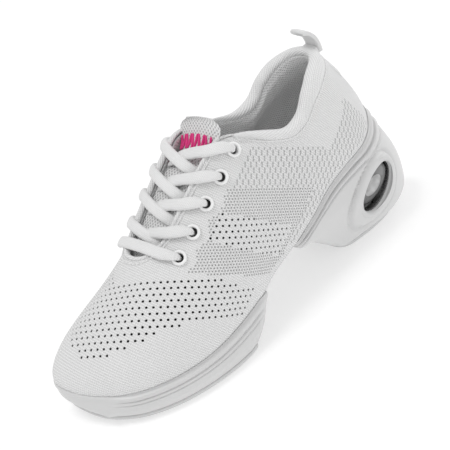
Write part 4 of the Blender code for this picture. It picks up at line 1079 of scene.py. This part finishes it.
def tongue():
    """Padded mesh tongue with rounded edges."""
    ys = np.concatenate([np.linspace(-64, 2, 56), np.linspace(3, 17.5, 34)])
    a = turns(72)
    c, s = np.cos(a), np.sin(a)
    lift = np.sign(s) * np.abs(s) ** 0.75
    rings = []
    for y in ys:
        half = float(table_at(TONGUE_HALF_W, y))
        x = 1.0 + c * half
        z = tongue_top(x, y)
        t = 1.8 + 2.4 * (1 - c * c)
        top = np.stack([x, y + 0 * x, z], -1)
        low = np.stack([x * 0.985, y + t * 0.5, z - t * 0.85], -1)
        rings.append((top + low) / 2 + (top - low) / 2 * lift[:, None])
    last = rings[-1]
    flat = (last + last[(72 - np.arange(72)) % 72]) / 2
    for f, ahead in ((0.93, 0.45), (0.78, 0.8), (0.5, 1.0)):
        rings.append(flat + (last - flat) * f + np.array((0, 0.35, 0.85)) * ahead)
    obj = tube("tongue_pad", np.array(rings), [TONGUE_MESH])
    settle(obj, "tongue_mesh", "tongue", "tongue")


def motif():
    """Generic satin-stitched row of slanted leaves."""
    def on_tongue(x, y, height):
        p = np.stack([x, y, tongue_top(x, y)], -1)
        slope_x = (tongue_top(x + 0.2, y) - tongue_top(x - 0.2, y)) / 0.4
        slope_y = (tongue_top(x, y + 0.1) - tongue_top(x, y - 0.1)) / 0.2
        dx = np.stack([1 + 0 * x, 0 * x, slope_x], -1)
        dy = np.stack([0 * x, 1 + 0 * x, slope_y], -1)
        return p + unit(np.cross(dx, dy)) * height[..., None]
    points, faces, uvs = [], [], []
    n, m = 15, 11
    for count, cx in enumerate(np.linspace(-14.8, 13.6, 10)):
        s, r = np.meshgrid(np.linspace(-1, 1, n), np.linspace(-1, 1, m), indexing="ij")
        lean = 0.8 if count % 2 else -0.8
        x = cx + r * 1.0 * (1 - 0.5 * s * s) + lean * s
        y = 10.9 + s * 2.6
        grid = on_tongue(x, y, 0.25 + 0.75 * np.sqrt(np.maximum(0, 1 - r * r))
                         * (1 - 0.4 * s ** 4))
        base = len(points)
        points += list(grid.reshape(-1, 3))
        under = len(points)
        points += list(on_tongue(x, y, 0 * x - 0.1).reshape(-1, 3))
        quads, corners = strips(n, m, False, False)
        for quad, corner in zip(quads, corners):
            faces.append([base + q for q in quad])
            faces.append([under + q for q in reversed(quad)])
            uvs += [(a * 0.5, b * 0.3) for a, b in corner] * 2
        rim = [(i, 0) for i in range(n)] + [(n - 1, j) for j in range(1, m)] \
            + [(i, m - 1) for i in range(n - 2, -1, -1)] + [(0, j) for j in range(m - 2, 0, -1)]
        for (a, b), (c, d) in zip(rim, rim[1:] + rim[:1]):
            faces.append([base + a * m + b, base + c * m + d, under + c * m + d,
                          under + a * m + b])
            uvs += [(a * 0.5, b * 0.3), (c * 0.5, d * 0.3)] * 2
    obj = make("tongue_embroidery", np.array(points), faces, [PINK], uvs)
    settle(obj, "motif_pink", "tongue", "tongue_motif")


tongue()
motif()


# ---------------------------------------------------------------- sole units

def rim_points(run, y, steps):
    """Closed rim as in the frame: foot line over grid columns, closed through x 0."""
    sides = [foot_line(k * COLUMN_STEP) - (0, 0, 0.3) for k in run]
    for p in (sides[0], sides[-1]):
        p[2] = min(p[2], float(table_at(FOOTBED, p[1])) - CUP_GAP)
    middle = np.array((0.0, y, float(table_at(FOOTBED, y)) - CUP_GAP))
    lead = [middle + (sides[0] - middle) * i / steps for i in range(steps)]
    back = [middle + (sides[-1] - middle) * i / steps for i in range(steps - 1, 0, -1)]
    return np.array(lead + sides + back)


def ease_corners(ring, s, corners):
    """Rounds a closed ring near the given parameters."""
    soft = sum(bump_at(s, c, 1.3) for c in corners)[:, None] * 0.5
    for _ in range(60):
        ring = ring + soft * ((np.roll(ring, 1, 0) + np.roll(ring, -1, 0)) / 2 - ring)
    return ring


def grid_normals(grid, centre):
    """Outward unit normals of a grid closed along its second axis."""
    around = np.roll(grid, -1, 1) - np.roll(grid, 1, 1)
    down = np.gradient(grid, axis=0)
    n = np.cross(around, down)
    n /= np.linalg.norm(n, axis=-1, keepdims=True) + 1e-9
    out = grid - centre
    out[..., 2] = 0
    return n * np.where((n * out).sum(-1, keepdims=True) > 0, 1.0, -1.0)


def cup_inside(rim, centre_y):
    """Lip and floor rings inside a rim."""
    rings = []
    for inset, drop in ((1.6, 0.3), (3.0, 1.4), (4.2, 3.0)):
        side = np.stack([1.0 - rim[:, 0], np.clip(rim[:, 1], *centre_y) - rim[:, 1],
                         0 * rim[:, 0]], -1)
        p = rim + unit(side) * inset * 0.8
        floor = table_at(FOOTBED, p[:, 1]) - CUP_GAP
        p[:, 2] = np.minimum(rim[:, 2] - drop * 0.4, np.maximum(floor, rim[:, 2] - drop * 2))
        if inset > 4:
            p[:, 2] = np.minimum(floor, rim[:, 2] - 1.0)
        rings.append(p)
    return rings


def round_rim(n):
    """n even parameters round the rim of a sole unit."""
    return np.arange(n) * RIM_KNOTS / n


def fore_bottom(s):
    """Lower edge of the forefoot unit at rim parameters."""
    coarse = np.arange(RIM_KNOTS) * len(FORE_BOTTOM) / RIM_KNOTS
    return ring_at(ring_at(np.array(FORE_BOTTOM, float), coarse), s)


def forefoot_unit():
    """Cup sole of the forefoot: rolled top bead, two grooves, soft ridges at the toe corners."""
    s = round_rim(336)
    rim = ease_corners(ring_at(rim_points(range(18, 55), FORE_REAR_Y, 6), s), s, (6, 42))
    bottom = fore_bottom(s)
    middle = (rim + bottom) / 2
    out = middle - FORE_CENTRE
    out[:, 2] = 0
    u = (s - 6 + 18) * COLUMN_STEP
    side = smooth_step(7.6, 8.3, u) * smooth_step(13.9, 12.9, u) \
        + smooth_step(17.0, 17.9, u) * smooth_step(22.4, 21.7, u)
    middle = middle + unit(out) * (1.4 + 1.0 * side[:, None])
    handle = 2 * middle - 0.5 * (rim + bottom)
    t = np.linspace(0, 1, 56)[:, None, None]
    grid = (1 - t) ** 2 * rim + 2 * t * (1 - t) * handle + t * t * bottom
    normals = grid_normals(grid, FORE_CENTRE)
    t = t[..., 0]
    lift = side * (1.15 * bump_at(t, 0.11, 0.08) - 0.8 * bump_at(t, 0.25, 0.022)
                   + 0.2 * bump_at(t, 0.33, 0.04) - 0.7 * bump_at(t, 0.40, 0.02)
                   + 0.3 * bump_at(t, 0.62, 0.14))
    lift = lift + (1 - side) * (0.7 * bump_at(t, 0.08, 0.09) + 0.5 * bump_at(t, 0.6, 0.25))
    ridge = bump_at(u, 13.55 + 0.5 * (t - 0.2), 0.16) + bump_at(u, 17.35 - 0.5 * (t - 0.2), 0.16)
    lift = lift + 0.9 * ridge * smooth_step(0.05, 0.3, t)
    lift = lift - 0.6 * smooth_step(0.9, 1.0, t) ** 2
    grid = grid + normals * lift[..., None]
    lap = rim + (normals[0] * 0.7 + (0, 0, 0.9)) * (0.3 + 0.7 * side[:, None])
    tuck = rim - normals[0] * 1.0 + (0, 0, 0.5)
    inner = cup_inside(rim, (-100.0, -16.0))
    rings = np.concatenate([grid[::-1], lap[None], tuck[None], np.array(inner)])
    obj = solid_of_rings("forefoot_unit", rings, [SOLE])
    settle(obj, "sole_white", "forefoot", "forefoot_midsole")


def tread(name, nodes, body, ring, centre, top, wave):
    """Rubber tread with a rounded edge and flex grooves moulded into its underside."""
    rows = []
    for inset, z in ((1.6, 0.0), (0.9, 0.12), (0.4, 0.6), (0.25, 1.2), (0.2, top)):
        out = ring - centre
        out[:, 2] = 0
        p = ring - unit(out) * inset
        p[:, 2] = z + (ring[:, 2] - ring[:, 2].min()) * (0.9 if z < top else 1.0)
        rows.append(p)
    first = rows[0]
    inner = []
    for f in np.linspace(0.04, 0.97, 30):
        p = centre + (first - centre) * f
        p[:, 2] = first[:, 2].min() + (first[:, 2] - first[:, 2].min()) * f ** 6
        p[:, 2] += 0.7 * smooth_step(0.55, 0.85, 0.5 + 0.5 * np.sin(p[:, 1] * wave)) * (f < 0.9)
        inner.append(p)
    grid = np.concatenate([np.array(inner), np.array(rows)])
    obj = solid_of_rings(name, grid, [RUBBER])
    settle(obj, "rubber_white", body, *nodes)


def heel_level(level, s):
    """Smooth heel ring, sampled in step with the rim."""
    points = list(level) + [(-x * 0.97, y, z) for x, y, z in level[-2:0:-1]]
    half = [HEEL_KNEE * i / 14 for i in range(15)]
    half += [HEEL_KNEE + (8.0 - HEEL_KNEE) * i / 10 for i in range(1, 11)]
    knots = half + [16.0 - c for c in half[-2:0:-1]]
    return ring_at(np.array(points, float),
                   np.interp(s, np.arange(RIM_KNOTS + 1), knots + [16.0]))


def window_point(p, q):
    """(y, z) of window coordinates."""
    return (WINDOW_Y + p * math.cos(WINDOW_TILT) - q * math.sin(WINDOW_TILT),
            WINDOW_Z + p * math.sin(WINDOW_TILT) + q * math.cos(WINDOW_TILT))


def window_ring(a, grow, scale=1.0):
    """(y, z) of the window's outline at angles a, grown by millimetres, then scaled."""
    return window_point((WINDOW_LONG + grow) * scale * np.cos(a),
                        (WINDOW_SHORT + grow) * scale * np.sin(a))


def side_x(y):
    """Half width of the heel unit at the window."""
    d = np.maximum(np.asarray(y, float) - 88.0, 0.0)
    return 31.2 - 0.13 * d - 0.003 * d ** 2


def heel_unit():
    """Sculpted heel with a through window, a drop-shaped panel round it and a double top bead."""
    s = round_rim(384)
    top = rim_points(range(14, -15, -1), HEEL_FRONT_Y, 10)
    top = top[(RIM_KNOTS // 2 - np.arange(RIM_KNOTS)) % RIM_KNOTS]
    rim = ease_corners(ring_at(top, s), s, (14, 34))
    levels = np.array([heel_level(level, s) for level in HEEL_RINGS] + [rim])
    w = np.concatenate([np.linspace(0, 4, 49), np.linspace(4.04, 5, 25)])
    grid = line_at(levels, w)
    normals = grid_normals(grid, np.array((0.0, 88.0, 0.0)))
    y, z = grid[..., 1] - WINDOW_Y, grid[..., 2] - WINDOW_Z
    p = y * math.cos(WINDOW_TILT) + z * math.sin(WINDOW_TILT)
    q = -y * math.sin(WINDOW_TILT) + z * math.cos(WINDOW_TILT)
    reach = np.where(p < 0, WINDOW_LONG + 11.0, WINDOW_LONG + 5.0)
    e = np.sqrt((p / reach) ** 2 + (q / (WINDOW_SHORT + 5.6)) ** 2)
    flank = smooth_step(0.35, 0.8, np.abs(normals[..., 0]))
    d = (5 - w)[:, None] * np.ones(len(s))
    back = smooth_step(28.0, 40.0, grid[..., 1])
    lift = back * (1.4 * bump_at(d, 0.2, 0.11) - 1.3 * bump_at(d, 0.42, 0.05)
                   + 0.9 * bump_at(d, 0.6, 0.1) - 1.0 * bump_at(d, 0.84, 0.05))
    lift = lift + flank * (1.3 * smooth_step(1.06, 0.92, e) - 1.3 * bump_at(e, 1.08, 0.045))
    lift = lift - 0.8 * smooth_step(0.3, 0.0, w)[:, None] ** 2
    grid = grid + normals * lift[..., None]
    lap = rim + (normals[-1] * 0.6 + (0, 0, 0.9)) * (0.3 + 0.7 * back[-1][:, None])
    tuck = rim - normals[-1] * 1.0 + (0, 0, 0.5)
    inner = cup_inside(rim, (40.0, 108.0))
    rings = np.concatenate([grid, lap[None], tuck[None], np.array(inner)])
    obj = solid_of_rings("heel_unit", rings, [SOLE])
    a = turns(72)
    wy, wz = window_ring(a, 1.0)
    bars = np.array([np.stack([x + 0 * a, wy, wz], -1) for x in (-60.0, 60.0)])
    hole = solid_of_rings("window_cutter", bars, [SOLE])
    mod = obj.modifiers.new("window", "BOOLEAN")
    mod.operation = "DIFFERENCE"
    mod.solver = "EXACT"
    mod.object = hole
    bpy.context.view_layer.update()
    graph = bpy.context.evaluated_depsgraph_get()
    done = bpy.data.meshes.new_from_object(obj.evaluated_get(graph))
    obj.modifiers.clear()
    obj.data = done
    bpy.data.objects.remove(hole, do_unlink=True)
    obj.data.shade_smooth()
    obj.data.set_sharp_from_angle(angle=math.radians(50))
    settle(obj, "sole_white", "heel", "heel_midsole")


def window_parts():
    """Wide rolled bezels with a bright inner ring, and the dark air cushion between them."""
    a = turns(96)
    profile = ((0.7, -7.5), (0.6, -3.4), (0.35, -2.3), (0.35, -1.2), (0.75, -0.2), (1.5, 0.75),
               (2.4, 1.2), (3.3, 1.05), (4.1, 0.4), (4.5, -0.6), (4.4, -2.0), (1.6, -3.6),
               (1.3, -7.5))
    for sign, word in ((1, "lateral"), (-1, "medial")):
        rows = []
        for grow, lift in profile:
            y, z = window_ring(a, grow)
            rows.append(np.stack([sign * (side_x(y) + lift), y, z], -1))
        grid = np.array(rows).transpose(1, 0, 2)
        faces, corners = strips(len(a), len(profile), True, True)
        kinds = [1 if c[0][1] < 3 else 0 for c in corners]
        obj = make("window_bezel_" + word, grid.reshape(-1, 3), faces, [SOLE, SILVER], None, kinds)
        settle(obj, "bezel_silver", "heel", "window_frame_" + word)
    half = ((26.9, 0.02), (26.85, 0.2), (26.6, 0.38), (25.7, 0.46), (25.5, 0.6), (24.9, 0.76),
            (24.0, 0.88), (22.4, 0.95), (18.0, 0.98), (8.0, 0.93))
    rows = [(-x, f) for x, f in half] + [(x, f) for x, f in half[::-1]]
    rings = []
    for x, f in rows:
        y, z = window_ring(a, 0.2, f)
        rings.append(np.stack([x + 0 * a, y, z], -1))
    kinds = []
    for i in range(len(rows) - 1):
        core = max(rows[i][1], rows[i + 1][1]) < 0.47
        kinds += [1 if core else 0] * len(a)
    obj = tube("air_unit", np.array(rings), [DARK, BLOB], kinds=kinds)
    settle(obj, "cushion_dark", "heel", "air_cushion")


forefoot_unit()
heel_unit()
window_parts()
around = round_rim(240)
tread("forefoot_tread", ("forefoot_outsole", "turning_disc"), "forefoot", fore_bottom(around),
      FORE_CENTRE, 2.75, 1.25)
tread("heel_tread", ("heel_outsole",), "heel", heel_level(HEEL_RINGS[0], around),
      np.array((0.0, 96.0, 0.0)), 2.95, 1.6)


# ---------------------------------------------------------------- tape, tab, arch, sock

def back_parts():
    """Heel tape sewn over the back seam and the folded finger loop."""
    c = np.linspace(-1, 1, 25)
    vs = np.linspace(0.52, 1.02, 70)
    u, v = np.meshgrid(0.45 * c, vs, indexing="ij")
    lift = (0.55 + 2.2 * smooth_step(0.86, 1.0, v)) * (1 - np.abs(c[:, None]) ** 6) \
        * smooth_step(0.515, 0.55, v) + 0.25
    obj = slab("heel_tape", skin(u, v, lift), skin(u, v, -0.15 + 0 * v), [WEB])
    settle(obj, "web_white", "heel", "back_tape")
    knots = np.array(((0, 106.3, 113.6), (0, 106.3, 118.0), (0, 105.3, 122.4), (0, 103.0, 126.0),
                      (0, 100.2, 128.2), (0, 97.7, 128.9)))
    path = line_at(knots, np.linspace(0, 5, 61))
    width = np.interp(np.linspace(0, 1, 61), (0, 0.9, 1), (12.5, 12, 11.4))
    thick = np.interp(np.linspace(0, 1, 61), (0, 0.1, 0.8, 0.94, 1), (3.0, 3.0, 3.0, 3.4, 1.8))
    shape = oval(width, thick, 40, 0.45)
    shape[..., 0] *= 1 - 0.05 * bump_at(shape[..., 1], 0, 0.35)      # line between both layers
    obj = tube("pull_loop", sections(path, np.tile((1.0, 0, 0), (61, 1)), shape), [WEB])
    settle(obj, "web_white", "pull_tab", "pull_tab")


def arch_cloth():
    """Stretch cloth under the arch, between the sole units."""
    ys = np.linspace(-7.0, 31.0, 77)
    lat, med = foot_line(7.45 - (ys - 2.6) / 18.0, 0.9), foot_line(22.6 + (ys - 2.6) / 18.0, 0.9)
    c = np.linspace(-1, 1, 49)
    x = (lat[:, :1] + med[:, :1]) / 2 + (lat[:, :1] - med[:, :1]) / 2 * c
    flat = (table_at(FOOTBED, ys) - 0.5)[:, None]
    edge = np.where(c > 0, lat[:, 2:], med[:, 2:]) + 1.0
    z = flat + (edge - flat) * smooth_step(0.74, 1.0, np.abs(c)) ** 1.5
    rib = 0.16 * np.sin(ys * 2.6)[:, None]
    top = np.stack([x, ys[:, None] + 0 * x, z], -1)
    low = top - np.stack([0 * x, 0 * x, 1.0 + rib + 0 * x], -1)
    obj = slab("arch_cloth", top, low, [KNIT])
    settle(obj, "knit_white", "fold", "arch_cover_front", "arch_cover_rear")


def sock():
    """One moulded sock liner over both boards."""
    s = np.arange(240) * N_COL / 240.0
    rings = []
    for inset, lift in ((5.6, 2.4), (5.1, 3.2), (5.1, 5.4), (5.9, 6.3), (9.0, 6.35), (13.0, 6.2)):
        p = foot_line(s, inset)
        rings.append(np.stack([p[:, 0], p[:, 1], table_at(FOOTBED, p[:, 1]) + lift], -1))
    obj = solid_of_rings("sock_pad", np.array(rings), [SOCK])
    settle(obj, "sock_grey", "fold", "sock_liner_front", "sock_liner_rear")


back_parts()
arch_cloth()
sock()

KEPT = {"insole_board_front": BOARD, "insole_board_rear": BOARD, "toe_puff": STAY,
        "heel_counter": STAY, "eyelet_stay_lateral": STAY, "eyelet_stay_medial": STAY,
        "aglet_lateral": AGLET, "aglet_medial": AGLET}
for node, mat in KEPT.items():
    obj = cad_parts[node]
    for socket in obj.material_slots:
        socket.material = mat


# ---------------------------------------------------------------- camera, light, floor

CAMERA_ANGLES = (61.1, 29.75, -20.76)             # azimuth, elevation and roll in degrees
CAMERA_AIM = Vector((0, 0, 50))
CAMERA_OFFSETS = (1000.22, 6.65, 7.14)            # back, right and up from the aim, in mm
CAMERA_LENS = 140.7


def camera():
    """Camera at the photograph's angle, with its roll."""
    azimuth, elevation, roll = map(math.radians, CAMERA_ANGLES)
    back = Vector((math.sin(azimuth) * math.cos(elevation),
                   -math.cos(azimuth) * math.cos(elevation), math.sin(elevation)))
    flat = Vector((math.cos(azimuth), math.sin(azimuth), 0.0))
    raised = back.cross(flat)
    right = flat * math.cos(roll) + raised * math.sin(roll)
    up = raised * math.cos(roll) - flat * math.sin(roll)
    reach, side, lift = CAMERA_OFFSETS
    eye = (CAMERA_AIM + Vector(SHIFT) + back * reach + right * side + up * lift) * MM
    data = bpy.data.cameras.new("camera")
    data.lens = CAMERA_LENS
    data.sensor_width = 36.0
    data.clip_end = 50.0
    cam = linked("camera", data)
    turn = Matrix((right, up, back)).transposed()
    cam.matrix_world = Matrix.Translation(eye) @ turn.to_4x4()
    bpy.context.scene.camera = cam
    return right, up, back


def light(name, where, target, size, power):
    """Soft area light aimed at a point."""
    data = bpy.data.lights.new(name, "AREA")
    data.shape = "DISK"
    data.size = size
    data.energy = power
    obj = linked(name, data)
    obj.location = where
    obj.rotation_euler = (Vector(target) - Vector(where)).to_track_quat("-Z", "Y").to_euler()


def studio():
    """Pale floor and soft light."""
    right, up, back = camera()
    middle = Vector((0.0, 0.0, 0.06))
    light("key", middle + Vector((0.0, 0.0, 1.5)) - right * 0.6 + back * 0.25, middle, 0.9, 11.5)
    light("fill", middle + right * 0.9 + back * 1.4 + up * 0.2, middle, 1.2, 3.4)
    light("rim", middle + up * 1.0 + right * 0.6 - back * 0.5, middle, 0.9, 3.0)
    world = bpy.data.worlds.new("studio")
    world.use_nodes = True
    world.node_tree.nodes["Background"].inputs[0].default_value = (1, 1, 1, 1)
    world.node_tree.nodes["Background"].inputs[1].default_value = 0.64
    bpy.context.scene.world = world
    n = Nodes("floor_white")
    mat = n.finish(n.blend(n.noise(3.0), grey(0.67), grey(0.66)), 0.9,
                   Emission_Color=(1, 1, 1, 1), Emission_Strength=0.40)
    mesh = bpy.data.meshes.new("floor")
    mesh.from_pydata([(x * 8, y * 8, 0) for x, y in ((-1, -1), (1, -1), (1, 1), (-1, 1))], [],
                     [(0, 1, 2, 3)])
    mesh.materials.append(mat)
    floor = linked("floor", mesh)
    floor.location.z = -0.0004
    view = bpy.context.scene.view_settings
    view.view_transform = "Standard"
    view.look = "None"


studio()
